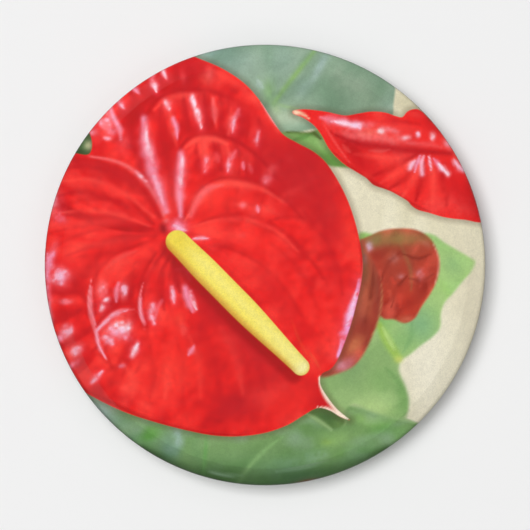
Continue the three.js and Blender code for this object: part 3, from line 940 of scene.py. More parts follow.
SECOND_MARKS: tuple[Mark, ...] = (
    Mottle("B4181E", 8, 0.5, 78, -60, 2),
    Mottle("FF564A", 10, 0.45, 80, -60, 2),
    Dab("F87C7C", (52, 57.5), (14, 3.5), -12, 0.65, 0.5),
    Dab("F86A66", (66, 45), (12, 5), -10, 0.4, 0.5),
    Dab("F86660", (80, 28), (10, 5), 15, 0.4, 0.5),
    Dab("F86A60", (92, 26), (6, 4), 15, 0.4, 0.5),
    Stroke("A01A1C", ((30, 51.5), (42, 41.5), (52, 35.5), (62, 30), (74, 24)), 1, 0.5),
    Dab("F87474", (40, 58.5), (8, 3), -12, 0.5, 0.5),
    Dab("C8242A", (57.5, 65.5), (3.5, 2), -30, 0.5, 0.3),
    Dab("C8242A", (66, 58.5), (3, 5), 20, 0.4, 0.3),
    Fold("A8141A", ((69, 50), (60, 45), (49, 40.5)), 2, 0.6),
    Fold(RIDGE, ((68, 48), (60, 42), (52, 37)), 1.6, 0.6),
    Fold("A8141A", ((69, 47), (63, 39), (56, 34.5)), 1.8, 0.6),
    Fold(RIDGE, ((70, 45), (66, 37), (62, 31)), 1.6, 0.6),
    Fold("A8141A", ((72, 46), (70, 37), (68, 29)), 1.8, 0.6),
    Fold(RIDGE, ((75.5, 46), (76, 36), (75.5, 28)), 1.8, 0.6),
    Fold("A8141A", ((79, 45), (81, 36), (82, 27)), 2, 0.6),
    Fold("A8141A", ((30, 60), (38, 53), (44, 45)), 2, 0.5),
    Fold("B81A20", ((50, 64.5), (60, 64.8), (70, 63.5)), 1.2, 0.5),
    Fold(RIDGE, ((40, 50), (50, 48.8), (60, 48)), 1.6, 0.5),
    Dab("D22226", (45, 45), (14, 3), -35, 0.4),
    Stroke("B01A20", ((32, 58.5), (42, 55), (52, 53.5), (62, 52), (72, 51.2), (84, 50.5)), 2.2, 0.75,
        (0.3, 0.5)),
    Dab("B8141A", (95, 30), (5, 12), 15, 0.8),
    Dab("C4181E", (86, 34), (4, 10), 20, 0.5),
    Dab("C81C20", (76, 62), (5, 3), -30, 0.5),
    Stroke("9C2A22", ((73, 69.5), (74.5, 66), (77, 65.5)), 1.2, 0.6),
    Dab("F5403A", (44, 62), (20, 2.2), -6, 0.7),
    Dab("F24440", (62, 62), (10, 2), -8, 0.5),
    Dab("FA3830", (62, 42), (10, 5), -20, 0.5),
    Dab("F43C36", (77, 32), (5, 6), 0, 0.5),
    Dab("EC5040", (45, 40), (3, 1.5), 10, 0.3),
    Dab("F04A44", (68, 68), (4, 1.2), -10, 0.5),
    Stroke("F08AA0", ((25, 66.5), (32, 65), (40, 63.5)), 2.2, 0.8, (0.3, 0.7), 0.4),
    Stroke(GLINT, ((30, 64.8), (35, 64), (41, 62.8)), 1.1, 0.85, (0.3, 0.9), 0.5),
    Dab(PALE, (41, 63), (2.4, 1.8), 0, 0.8, 0.8),
    Dab("F08C98", (47, 63.5), (3, 1.6), 0, 0.45, 0.6),
    Dab(GLINT, (52, 60.4), (2, 1), 0, 0.95, 0.4),
    Dab("F29AA8", (56, 61), (4, 1.2), -10, 0.5, 0.5),
    Dab(GLINT, (63.5, 57.5), (2, 1.2), 10, 0.95, 0.4),
    Dab(PALE, (69, 58.8), (1, 1.2), 0, 0.85, 0.5),
    Dab(GLINT, (75.7, 58), (1.2, 1.6), 10, 0.95, 0.4),
    Dab(PALE, (82.5, 54.8), (2.2, 1.6), -40, 0.8, 0.6),
    Stroke("F07A80", ((64, 55), (73, 54.5), (80, 53)), 1.2, 0.35, (0.4, 0.4), 0.5),
    Stroke(PALE, ((67.5, 47), (66, 45), (65.5, 43.5)), 1.2, 0.85, (0.4, 0.8), 0.3),
    Stroke("F4A6C8", ((70, 49.5), (68.5, 45.5), (67.5, 42)), 0.8, 0.8, (0.5, 0.5), 0.3),
    Stroke(PALE, ((71.5, 49), (70.5, 45), (71, 41)), 1.1, 0.8, (0.5, 0.9), 0.4),
    Stroke(PALE, ((74, 49), (74.5, 46), (75, 43)), 0.8, 0.85, (0.5, 0.6), 0.3),
    Stroke("F29AC0", ((76, 48), (78.5, 45), (80, 43)), 1.2, 0.7, (0.4, 0.8), 0.3),
    Stroke(GLINT, ((78.5, 45.5), (80.5, 43), (82.5, 41)), 1.2, 0.9, (0.5, 0.9), 0.4),
    Stroke(PALE, ((85, 47.5), (87, 45), (89.5, 43)), 1.4, 0.85, (0.4, 0.8), 0.4),
    Stroke("F0605C", ((26, 64), (31, 56), (36, 49), (39, 45)), 0.5, 0.6),
    Dab("F0A080", (49, 60), (5, 1.2), 5, 0.25, 0.4),
    Stroke("E85850", ((35, 54), (37, 52), (38.5, 51)), 1.2, 0.5),
    Stroke("E06460", ((47, 51.5), (52, 51.3), (56, 52)), 0.8, 0.45, (0.4, 0.4), 0.4),
    Dab("F8EBC8", (14, 68.8), (2, 1.2), -20),
    Stroke("F6D8B0", ((13.5, 69.5), (17, 68), (20, 66)), 0.8, 0.8),
    Stroke("8E2A22", ((46, 38.5), (50, 35.2), (55, 33.8)), 0.6, 0.5),
    Stroke("8E2A22", ((63, 29.2), (67, 25.8), (71, 24.3)), 0.6, 0.5),
)

# the top leaf
TOP_LEAF = Leaf(
    ((-50, 110), (75, 110), (60, 86), (58.8, 79), (58, 73), (56.5, 66), (45, 62), (30, 62), (16, 60),
        (6, 55), (-20, 60), (-50, 80)),
    "8CA48C",
    (
        Dab("93AEAC", (-20, 96), (12, 10), 0, 0.8),
        Dab("8FA99C", (8, 95), (6, 10), 0, 0.5),
        Dab("6F9076", (2, 93), (3, 12), 10, 0.5),
        Dab("6C8D70", (28, 80), (7, 10), 20, 0.6),
        Dab("A2B8B4", (25, 90), (2, 9), -28, 0.8),
        Dab("9DB3AE", (17, 80), (3, 5), -30, 0.5),
        Dab("6A8B6E", (42, 90), (8, 6), -20, 0.5),
        Dab("6E8E74", (52, 78), (4, 10), 0, 0.5),
        Dab("93AF8E", (12, 67), (10, 5), 0, 0.8),
        Dab("9CB69E", (16, 63), (6, 2.5), -10, 0.6),
        Dab("82A86C", (2, 78), (2.5, 7), 5, 0.7),
        Dab("A8C088", (5, 70), (2, 4), 20, 0.6),
        Dab("A8B4A0", (38, 82), (10, 6), -20, 0.6, 0.3),
        Dab("9CAC94", (47, 74), (8, 5), -20, 0.6, 0.3),
        Dab("B8C6AC", (11, 66.5), (10, 3.5), 0, 0.8),
        Stroke("8DB36C", ((4, 73), (10, 81), (17, 90), (25, 100)), 1.2, 0.9, (1, 0.7)),
        Stroke("9DBE84", ((4, 73.5), (9, 71.5), (15, 70.5)), 0.8, 0.6),
        Stroke("93B488", ((3, 74), (0, 80), (-3, 85)), 1.4, 0.5),
        Stroke("8CAA8E", ((4, 76), (2, 88), (3, 100)), 0.8, 0.4),
        Stroke("B4C8C0", ((-3, 83), (-2, 81), (-1, 80)), 1.4, 0.6, (0.5, 0.5), 0.5),
        Mottle("5C7A5E", 6, 0.5, 61, 55, 2),
        Mottle("B2C0B8", 8, 0.45, 63, 50, 2.5),
        Mottle("64826A", 17, 0.35, 65, 35, 2),
    ),
    0.6,
)

TOP_LEAF_LOBE = Leaf(
    ((8, 60), (20, 60), (28, 62), (36, 52), (42, 44), (36, 44), (28, 45), (18, 50), (8, 55)),
    "82AC62",
    (
        Dab("5C9040", (30, 47), (8, 3), -35, 0.8),
        Dab("96BA74", (26, 55), (4, 3), -20, 0.7),
        Stroke("4A5A28", ((10, 60), (16, 60.5), (21, 60), (25, 57)), 1.6, 0.9),
        Stroke("4A7C38", ((12, 56), (17, 57.5), (21, 59)), 1.2, 0.5),
        Mottle("4E8238", 9, 0.6, 67, -40, 2),
    ),
    0.7,
)

# the sinus gap
SINUS_GAP = Leaf(
    ((-90, 48), (-78, 48), (-77, 56), (-80, 64), (-90, 60)),
    "46603A",
    (
        Dab("C6C69A", (-79.5, 54), (2.2, 2.2), 0, 0.95),
        Dab("2E4426", (-84, 51), (3, 1.2), 0, 0.5),
    ),
    0.7,
)

# leaves along the bottom
BOTTOM_LEAVES = Leaf(
    ((-100, -50), (-80, -55), (-50, -66), (-20, -72), (10, -68), (20, -64), (38, -63), (50, -65.5),
        (61, -68.5), (69, -71.5), (85, -80), (60, -110), (-60, -110)),
    "769A5E",
    (
        Dab("94A8A0", (-74, -65.5), (12, 5), -42, 0.9),
        Dab("6E9484", (-62, -76), (8, 6), -40, 0.6),
        Dab("5E9C44", (-53, -79), (4.5, 6), -30, 0.9),
        Dab("74A860", (-48, -73), (3, 3), -20, 0.6),
        Dab("6F9494", (-44, -84), (4, 7), -10, 0.7),
        Dab("A9C3C8", (-39, -77.5), (2.2, 5), 10, 0.85, 0.4),
        Dab("90AFA8", (-42, -85), (3, 5), 10, 0.6, 0.4),
        Dab("5E8C52", (-31, -84), (3, 10), 5, 0.6),
        Dab("8AA678", (14, -80), (12, 5), 15, 0.5),
        Dab("A4BC84", (28, -78), (10, 4), 20, 0.7),
        Dab("96BC70", (46, -70), (10, 2.5), -12, 0.8),
        Dab("5F9A4A", (58, -76), (10, 5), -20, 0.7),
        Dab("53903E", (44, -85), (12, 5), 25, 0.6),
        Dab("9DB9A0", (22, -86), (6, 3), 20, 0.6, 0.6),
        Dab("86A894", (8, -90), (10, 3), 10, 0.5, 0.5),
        Dab("4E7848", (-5, -93), (32, 9), 0, 0.65),
        Dab("3F6A30", (-22, -96), (14, 6), -5, 0.85),
        Dab("557A66", (16, -97), (12, 5), 5, 0.6),
        Dab("A8CC7C", (30, -78.5), (7, 3.5), 15, 0.75),
        Dab("B0CC6C", (28, -80), (2.4, 1.4), 0, 0.8, 0.4),
        Stroke("5C9A4A", ((-26.5, -76), (-27, -86), (-28.5, -100)), 1, 0.8, (0.8, 1)),
        Stroke("88B070", ((8, -77.5), (0, -83.5), (-7, -91), (-13, -100)), 1.2, 0.7, (0.4, 1)),
        Stroke("A9C78A", ((38.5, -63.5), (48, -65.5), (58, -68.5), (68, -71.5)), 1, 0.6, (0.4, 0.6)),
        Dab("3E6C34", (72, -72), (4, 2), 0, 0.5),
        Mottle("4E7A40", 5, 0.5, 69, 15, 2),
        Mottle("A0BC8C", 8, 0.45, 71, 20, 2.5),
        Mottle("A4B8AE", 15, 0.35, 73, 10, 2),
        Stroke("36522C", ((-55, -83), (-32, -93), (0, -97.5), (32, -92.5), (55, -83)), 4.5, 0.62,
            (0.5, 0.5)),
        Stroke("9CB4A4", ((-28, -92), (-20, -94.5), (-10, -95.5)), 0.8, 0.5),
        Stroke("8CA890", ((5, -93), (16, -91.5), (28, -88.5)), 1, 0.5),
        Dab("A83A2C", (20, -98.5), (5, 1.4), 8, 0.9),
    ),
)

# the leaf at the lower right
LOWER_LEAF = Leaf(
    ((22, -45), (40, -36), (52, -26), (60, -42), (60.5, -48), (63.5, -55), (65, -61), (64.5, -66),
        (63, -69), (58, -69), (48, -66), (40, -63), (36, -66), (36, -72), (30, -72), (24, -66)),
    "8CAE6E",
    (
        Dab("7C9C68", (40, -47), (7, 8), 0, 0.6),
        Dab("9CBC78", (50, -56), (6, 8), 0, 0.6),
        Dab("74A05A", (62, -60), (2, 6), 10, 0.6),
        Dab("B0CC82", (50, -64), (8, 3), -10, 0.8),
        Stroke("5E9250", ((54, -46), (58, -50), (62, -56)), 1, 0.35),
        Mottle("6A9A56", 7, 0.4, 75, 30, 1.5),
        Mottle("B4D08C", 10, 0.5, 77, 30, 1.5),
    ),
    1,
)

# the dark gap under the tip
TIP_GAP = Leaf(
    ((19, -66.5), (26, -64), (34, -68), (36, -71), (33, -73.5), (28, -73.5), (22, -69.5)),
    "5A7A42",
    (
        Dab("48663A", (28, -68), (5, 3), -20, 0.7),
        Dab("6E8E50", (33, -72), (2, 2), 0, 0.6),
    ),
)

# the pale leaf at the right
PALE_LEAF = Leaf(
    ((42, 13.5), (48, 14), (56, 10), (70, 14), (76, 13.5), (81, 10), (87, 6.5), (93, 3), (94.8, 1.2),
        (93, -3), (89, -7.5), (85, -12.5), (81, -17), (79.3, -22), (79, -28), (76, -32), (70, -36.5),
        (62.5, -42), (57, -40), (50, -28), (42, 0)),
    "A2C47A",
    (
        Dab("7FAE80", (70, -27), (8, 9), 20, 0.8),
        Dab("86B26E", (62, -34), (6, 5), 20, 0.7),
        Dab("7EA873", (85, 0), (4, 5), 30, 0.5),
        Dab("A2CC7C", (90, 2), (3, 4), 30, 0.5),
        Dab("A0CC74", (82, -10), (3, 5), 40, 0.7),
        Dab("8CC060", (45, 12), (3, 2), 0, 0.8),
        Stroke("A8D07C", ((93, -2), (88, -8), (82, -15), (79.5, -22), (79, -29)), 1, 0.5),
        Stroke("6E9E64", ((66, -25), (66, -32), (62, -40)), 1.2, 0.4),
        Mottle("6CA858", 8, 0.45, 79, -40, 2),
        Mottle("BCE098", 11, 0.4, 81, -40, 2),
    ),
    1,
)

# the young brown leaf
YOUNG_LEAF = Leaf(
    ((43, 9), (48, 13.5), (54, 15.8), (62, 16.5), (69, 15.5), (74.5, 12), (77.8, 6), (78.9, 0),
        (77.5, -7), (74.5, -13), (70.5, -19), (67.5, -24), (63, -26.2), (58, -24.5), (52, -23),
        (46, -10)),
    "B04030",
    (
        Dab("96724A", (62, 13), (12, 3.5), 0, 0.9),
        Dab("8C7A50", (50, 11), (4, 3), 20, 0.8),
        Dab("A0563C", (62, 6), (10, 5), 0, 0.5),
        Dab("C83C2C", (62, -17), (8, 6), 0, 0.8),
        Dab("BC402E", (72, -6), (4, 8), 0, 0.6),
        Dab("A04234", (58, -2), (5, 6), 0, 0.5),
        Dab("8E4434", (66, -2), (2, 6), 10, 0.5),
        Dab("D89CB0", (70.5, -5), (2, 2.4), 0, 0.85, 0.7),
        Dab("C88C94", (61, -5), (1.6, 1.2), 0, 0.6, 0.6),
        Dab("C07A72", (58, 3), (2, 2), 0, 0.5, 0.6),
        Dab("CC8478", (55, 10), (3, 1.2), 30, 0.5, 0.6),
        Dab("D8B0D0", (46, 8), (2.5, 2), 30, 0.85, 0.6),
        Dab("C46A5C", (72, 10), (3, 1.2), -40, 0.5, 0.5),
        Dab("D66A54", (64, -24.5), (3, 1.4), 10, 0.7),
        Stroke("E8A898", ((75.5, 10), (78.3, 4), (78.4, -2), (76.5, -9)), 0.6, 0.8),
        Stroke("E06A50", ((75.5, -11), (72, -17), (68.5, -22.5)), 0.8, 0.6),
        Stroke("D8604C", ((55, -20), (57, -16), (56, -12)), 1.4, 0.4, (0.5, 0.5), 0.4),
        Stroke("B46A40", ((49, 14), (60, 16.6), (70, 15)), 0.6, 0.6),
        Mottle("7A201C", 12, 0.7, 83, 60, 1.6),
        Mottle("E86450", 15, 0.7, 85, 60, 1.6),
        Mottle("8A7C48", 8, 0.6, 87, 30, 1.5),
        Dab("8E7C46", (60, 11.5), (11, 3), 4, 0.65),
        Fold("9A7A4A", ((59, 15), (62, 7), (65.5, -2), (66, -12)), 1, 0.35),
        Fold("7A2A20", ((61, 6), (55, 0), (52, -8)), 1, 0.6),
        Fold("7A2A20", ((62, 5), (69, 3), (75, 5)), 1, 0.6),
        Fold("D84838", ((57, -6), (60, -12), (61, -19)), 1.6, 0.6),
        Fold("7A2A20", ((64, -5), (59, -11), (57, -19)), 1, 0.6),
        Fold("7A2A20", ((65, -6), (71, -7), (76, -4)), 1, 0.5),
        Fold("D04A3A", ((70, -10), (72, -3), (74, 4)), 1.4, 0.5),
    ),
    0.7,
)

# its neighbour behind the spathe's right margin
YOUNG_NEIGHBOUR = Leaf(
    ((42, 10), (47, 5), (50.5, -2), (52.7, -9), (53, -17), (51.2, -25), (48, -33), (44.5, -40),
        (40, -45.5), (34, -48.5), (26, -50.5), (24, -47), (33, -30)),
    "A84838",
    (
        Dab("8E5A3C", (45, -2), (3, 8), 10, 0.7),
        Dab("B65A3C", (47, -18), (2, 12), 0, 0.5),
        Dab("96483A", (44, -25), (2, 8), 10, 0.6),
        Dab("7C4838", (50.5, -12), (1, 10), 4, 0.4),
        Dab("D8584A", (43, -40), (3.5, 4), -40, 0.9),
        Dab("D88A98", (35, -45.5), (4, 2.5), 20, 0.9, 0.3),
        Dab("C06474", (38.5, -43), (3, 2), 40, 0.5),
        Dab("B88490", (45, 3), (1.2, 3), 0, 0.4),
        Mottle("80241E", 11, 0.6, 89, 70, 1.8),
        Mottle("D87A58", 14, 0.6, 91, 70, 1.8),
        Stroke("C89060", ((52.2, -6), (52.8, -14), (51.5, -24), (48, -33)), 0.6, 0.6),
        Fold("6E2A20", ((49, 0), (48, -12), (45, -26)), 1.2, 0.55),
        Dab("D88A58", (41, -36), (3, 5), -30, 0.6, 0.3),
    ),
)

GROUND: tuple[Mark, ...] = (
    # the wall
    Mottle("C9C19E", 7, 0.4, 76, 86, 3.5),
    Mottle("F1EBD4", 9, 0.35, 82, 86, 3.5),
    Dab("D6CDB4", (95, -20), (10, 50), 10, 0.6),
    Dab("EDE8D8", (72, -45), (16, 25), -20, 0.5),
    Dab("CCC4A4", (62, 74), (8, 6), 0, 0.8),
    Dab("DED6BC", (40, 22), (10, 16), 0, 0.5),
    TOP_LEAF,
    TOP_LEAF_LOBE,
    SINUS_GAP,
    BOTTOM_LEAVES,
    LOWER_LEAF,
    TIP_GAP,
    # the stem that shows in the gap
    Stroke("A4C086", ((18.5, -66.8), (24, -70), (30, -74.2)), 0.9, 0.8, (0.5, 0.6)),
    PALE_LEAF,
    # the pale leaf's stalk
    Stroke("9CBE58", ((51.5, -27), (55, -34), (60, -42)), 2.2, 0.9, (0.7, 0.9), 0, 1.6),
    Stroke("BEDC8C", ((53, -28), (56, -34), (58.5, -38.5)), 0.9, 0.8),
    Dab("C6D070", (60.2, -42.5), (1.8, 1.6), 0, 0.9),
    YOUNG_LEAF,
    YOUNG_NEIGHBOUR,
)


@dataclass
class Picture:
    """The painted picture at every point, in layers that the ink then joins."""

    ground: Array
    petals: Array
    petal_depth: Array
    spadix: Array
    spadix_depth: Array


@dataclass(frozen=True)
class FlowerPainter:
    """Paints a red flower with its leaves against a pale wall."""

    wall: str = "E3DCC0"
    petal: str = "EC2826"
    bright: str = "FF5046"
    deep: str = "B4181E"
    light_patch: str = "FC443A"
    dark_patch: str = "BE1E24"
    groove: str = "B0161C"
    other_petal: str = "EA2A28"
    other_patch: str = "F83A32"
    contact: str = "4A3A28"
    contact_reach: float = 0.035
    under_spike: str = "8E1418"
    under_soft: float = 0.02
    blister_step: float = 0.012
    blister_layers: Layers = ((17.0, 25, 0.22), (31.0, 25, 0.25))
    patches: Layers = ((7.0, 21, 0.9), (13.0, 22, 1.0), (24.0, 24, 0.6))
    ripple: Layers = ((28.0, 23, 0.10),)
    other_patches: Layers = ((9.0, 31, 0.4),)
    shadow: Spadix = Spadix(base=(-0.415, 0.07), tip=(0.13, -0.49))

    def blisters(self, u: Array, v: Array) -> Array:
        """Shade the small soft blisters of a petal, lit from the upper left.

        Args:
            u: The points' places to the right.
            v: The points' places upwards.

        Returns:
            How lit each point is, from about -1 to 1.
        """
        du = self.blister_step * LIGHT_FROM[0]
        dv = self.blister_step * LIGHT_FROM[1]
        low = texture(u - du, v - dv, self.blister_layers)
        return low - texture(u + du, v + dv, self.blister_layers)

    def petal_canvas(self, u: Array, v: Array) -> Canvas:
        """Paint the main petal everywhere, as if it had no edge.

        Args:
            u: The points' places to the right.
            v: The points' places upwards.

        Returns:
            The painted canvas.
        """
        canvas = Canvas.plain(u, v, self.petal)
        patch = texture(u, v, self.patches)
        canvas.lay(self.light_patch, patch * 0.5)
        canvas.lay(self.dark_patch, -patch * 0.42)
        lit = texture(u, v, self.ripple) + Fan().relief(u, v) + self.blisters(u, v)
        line = np.zeros(u.shape)
        for crease in CREASES:
            bank, groove = crease.relief(u, v)
            lit = lit + bank
            line = np.maximum(line, groove)
        canvas.lay(self.bright, np.minimum(lit * 0.65, 0.8))
        canvas.lay(self.deep, np.minimum(-lit * 0.75, 0.8))
        canvas.lay(self.groove, line)
        for mark in (*FOLDS, *PETAL_MARKS):
            mark.onto(canvas)
        return canvas

    def second_canvas(self, u: Array, v: Array) -> Canvas:
        """Paint the petal at the upper right everywhere.

        Args:
            u: The points' places to the right.
            v: The points' places upwards.

        Returns:
            The painted canvas.
        """
        canvas = Canvas.plain(u, v, self.other_petal)
        canvas.lay(self.other_patch, texture(u, v, self.other_patches))
        for mark in SECOND_MARKS:
            mark.onto(canvas)
        return canvas

    def paint(self, u: Array, v: Array) -> Picture:
        """Paint the whole picture.

        Args:
            u: The points' places to the right.
            v: The points' places upwards.

        Returns:
            The picture's layers, in display colours and face units.
        """
        ground = Canvas.plain(u, v, self.wall)
        for mark in GROUND:
            mark.onto(ground)
        first = depth_inside(u, v, SPATHE)
        second = depth_inside(u, v, SECOND)
        petal_depth = np.maximum(first, second)
        ground.lay(self.contact, 0.28 * ease(-self.contact_reach, 0.0, petal_depth))
        main_petal = self.petal_canvas(u, v).colour
        other_petal = self.second_canvas(u, v).colour
        petals = Canvas(u, v, np.where((second > first)[:, None], other_petal, main_petal))
        spadix, spadix_depth = Spadix().paint(u, v)
        under = self.shadow.paint(u, v)[1]
        petals.lay(self.under_spike, 0.55 * ease(-self.under_soft, self.under_soft, under))
        return Picture(ground.colour, petals.colour, petal_depth, spadix, spadix_depth)


# ---------------------------------------------------------------------------
# Node trees: a small builder, and the effects that several finishes share
# ---------------------------------------------------------------------------


@dataclass
class Tree:
    """Adds and links the nodes of one node tree."""

    nodes: bpy.types.Nodes
    links: bpy.types.NodeLinks
    column: int = 0

    @classmethod
    def of(cls, tree: bpy.types.NodeTree) -> "Tree":
        """Wrap a node tree."""
        return cls(tree.nodes, tree.links)

    def add(self, kind: str, /, **values: object) -> bpy.types.Node:
        """Add a node and set its properties and inputs.

        Args:
            kind: The node's type name.
            values: Property names, or in_NAME for the input called NAME, where an
                underscore stands for a space; a socket links and a number sets.

        Returns:
            The new node.
        """
        node = self.nodes.new(kind)
        self.column += 1
        node.location = (180.0 * self.column, 0.0)
        for name, value in values.items():
            if not name.startswith("in_"):
                setattr(node, name, value)
        for name, value in values.items():
            if name.startswith("in_"):
                key = name[3:]
                socket = node.inputs[int(key) if key.isdigit() else key.replace("_", " ")]
                self.feed(socket, value)
        return node

    def feed(self, socket: bpy.types.NodeSocket, value: object) -> None:
        """Link a socket to an input, or set the input's own value.

        Args:
            socket: The input.
            value: A socket to link from, or a plain value.
        """
        if isinstance(value, bpy.types.NodeSocket):
            self.links.new(value, socket)
        else:
            socket.default_value = value

    def group(self, tree: bpy.types.NodeTree, /, **values: object) -> bpy.types.NodeSocket:
        """Place a node group.

        Args:
            tree: The group's tree.
            values: Its inputs, named as for add.

        Returns:
            The socket of the group's last output.
        """
        return self.add("ShaderNodeGroup", node_tree=tree, **values).outputs[-1]

    def noise(self, place: object, scale: float, detail: float = 2.0) -> bpy.types.NodeSocket:
        """Add a Noise Texture node.

        Args:
            place: The place's socket.
            scale: Bumps in a metre.
            detail: How many finer layers it has.

        Returns:
            The noise's socket.
        """
        return self.add(
            "ShaderNodeTexNoise", in_Vector=place, in_Scale=scale, in_Detail=detail
        ).outputs["Fac"]

    def times(self, a: object, b: object) -> bpy.types.NodeSocket:
        """Multiply two values."""
        return self.math("MULTIPLY", a, b)

    def plus(self, a: object, b: object) -> bpy.types.NodeSocket:
        """Add two values."""
        return self.math("ADD", a, b)

    def object_place(self) -> bpy.types.NodeSocket:
        """Give the place on the object."""
        return self.add("ShaderNodeTexCoord").outputs["Object"]

    def attribute(self, name: str, output: str = "Fac") -> bpy.types.NodeSocket:
        """Give one of the mesh's own attributes."""
        return self.add("ShaderNodeAttribute", attribute_name=name).outputs[output]

    def math(self, operation: str, a: object, b: object = 0.0) -> bpy.types.NodeSocket:
        """Add a Math node.

        Args:
            operation: The operation's name.
            a: The first value or socket.
            b: The second value or socket.

        Returns:
            The result's socket.
        """
        return self.add("ShaderNodeMath", operation=operation, in_0=a, in_1=b).outputs[0]

    def ramp(self, value: object, low: float, high: float, to: Point = (0.0, 1.0)) -> bpy.types.NodeSocket:
        """Map a stretch of values smoothly onto another.

        Args:
            value: The value or socket to map.
            low: The value that gives the first end.
            high: The value that gives the second end.
            to: The two ends.

        Returns:
            The mapped value's socket.
        """
        node = self.add("ShaderNodeMapRange", interpolation_type="SMOOTHSTEP", in_0=value)
        for index, number in zip((1, 2, 3, 4), (low, high, *to)):
            node.inputs[index].default_value = number
        return node.outputs[0]

    def blend(self, factor: object, a: object, b: object, how: str = "MIX") -> bpy.types.NodeSocket:
        """Mix two colours.

        Args:
            factor: How much of the second colour shows.
            a: The first colour or socket.
            b: The second colour or socket.
            how: The blend mode.

        Returns:
            The mixed colour's socket.
        """
        node = self.add("ShaderNodeMix", data_type="RGBA", blend_type=how)
        self.feed(node.inputs[0], factor)
        self.feed(node.inputs[6], a)
        self.feed(node.inputs[7], b)
        return node.outputs[2]


@dataclass(frozen=True)
class Socket:
    """One input or output of a node group."""

    name: str
    kind: str = "NodeSocketFloat"
    value: object = None


@dataclass
class GroupMaker:
    """Starts a shader node group with named inputs and outputs."""

    name: str
    inputs: tuple[Socket, ...]
    outputs: tuple[Socket, ...]

    def start(self) -> tuple[bpy.types.NodeTree, Tree, bpy.types.Node, bpy.types.Node]:
        """Make the group's tree.

        Returns:
            The tree, its builder, its input node and its output node.
        """
        tree = bpy.data.node_groups.new(self.name, "ShaderNodeTree")
        for way, sockets in (("INPUT", self.inputs), ("OUTPUT", self.outputs)):
            for item in sockets:
                made = tree.interface.new_socket(
                    name=item.name, in_out=way, socket_type=item.kind
                )
                if item.value is not None:
                    made.default_value = item.value
        build = Tree.of(tree)
        entry = build.add("NodeGroupInput")
        end = build.add("NodeGroupOutput")
        return tree, build, entry, end


COLOUR = "NodeSocketColor"
VECTOR = "NodeSocketVector"


@dataclass
class Effects:
    """The shader node groups that the finishes share."""

    ink: bpy.types.NodeTree = field(init=False)
    grain: bpy.types.NodeTree = field(init=False)
    turning: bpy.types.NodeTree = field(init=False)
    specks: bpy.types.NodeTree = field(init=False)

    def __post_init__(self) -> None:
        """Build every group once."""
        self.ink = self.build_ink()
        self.grain = self.build_grain()
        self.turning = self.build_turning()
        self.specks = self.build_specks()

    def build_ink(self) -> bpy.types.NodeTree:
        """Make the group that lays one ink over another inside an edge.

        Returns:
            The group's tree.
        """
        tree, build, entry, end = GroupMaker(
            "Ink layer",
            (
                Socket("Under", COLOUR),
                Socket("Over", COLOUR),
                Socket("Depth"),
                Socket("Softness", value=0.004),
            ),
            (Socket("Colour", COLOUR),),
        ).start()
        ratio = build.math("DIVIDE", entry.outputs["Depth"], entry.outputs["Softness"])
        cover = build.ramp(ratio, -1.0, 1.0)
        mixed = build.blend(cover, entry.outputs["Under"], entry.outputs["Over"])
        build.feed(end.inputs["Colour"], mixed)
        return tree

    def build_grain(self) -> bpy.types.NodeTree:
        """Make the group for fine, even grain at two scales.

        Returns:
            The group's tree.
        """
        tree, build, entry, end = GroupMaker(
            "Fine grain",
            (
                Socket("Vector", VECTOR),
                Socket("Fine Scale", value=9000.0),
                Socket("Broad Scale", value=900.0),
                Socket("Broad Share", value=0.4),
            ),
            (Socket("Value"),),
        ).start()
        place = entry.outputs["Vector"]
        share = entry.outputs["Broad Share"]
        fine = build.noise(place, entry.outputs["Fine Scale"])
        broad = build.noise(place, entry.outputs["Broad Scale"], 3.0)
        rest = build.math("SUBTRACT", 1.0, share)
        build.feed(end.inputs["Value"], build.plus(build.times(broad, share), build.times(fine, rest)))
        return tree

    def build_turning(self) -> bpy.types.NodeTree:
        """Make the group for faint rings about the button's axis.

        Returns:
            The group's tree.
        """
        tree, build, entry, end = GroupMaker(
            "Ring marks",
            (Socket("Vector", VECTOR), Socket("Rings", value=2600.0), Socket("Wander", value=0.25)),
            (Socket("Value"),),
        ).start()
        split = build.add("ShaderNodeSeparateXYZ", in_Vector=entry.outputs["Vector"])
        flat = build.add("ShaderNodeCombineXYZ", in_X=split.outputs["X"], in_Y=split.outputs["Z"])
        radius = build.add("ShaderNodeVectorMath", operation="LENGTH", in_0=flat.outputs[0])
        along = build.times(radius.outputs["Value"], entry.outputs["Rings"])
        drift = build.noise(entry.outputs["Vector"], 160.0)
        moved = build.plus(along, build.times(drift, entry.outputs["Wander"]))
        rings = build.add(
            "ShaderNodeTexNoise", noise_dimensions="1D", in_W=moved, in_Scale=1.0, in_Detail=3.0
        )
        build.feed(end.inputs["Value"], rings.outputs["Fac"])
        return tree

    def build_specks(self) -> bpy.types.NodeTree:
        """Make the group for scattered small specks, such as dust or pores.

        Returns:
            The group's tree.
        """
        tree, build, entry, end = GroupMaker(
            "Scattered specks",
            (Socket("Vector", VECTOR), Socket("Scale", value=1500.0), Socket("Size", value=0.16)),
            (Socket("Mask"),),
        ).start()
        cells = build.add(
            "ShaderNodeTexVoronoi", in_Vector=entry.outputs["Vector"], in_Scale=entry.outputs["Scale"]
        )
        edge = build.math("SUBTRACT", entry.outputs["Size"], cells.outputs["Distance"])
        inner = build.math("DIVIDE", edge, entry.outputs["Size"])
        mask = build.ramp(inner, 0.0, 0.6)
        build.feed(end.inputs["Mask"], mask)
        return tree


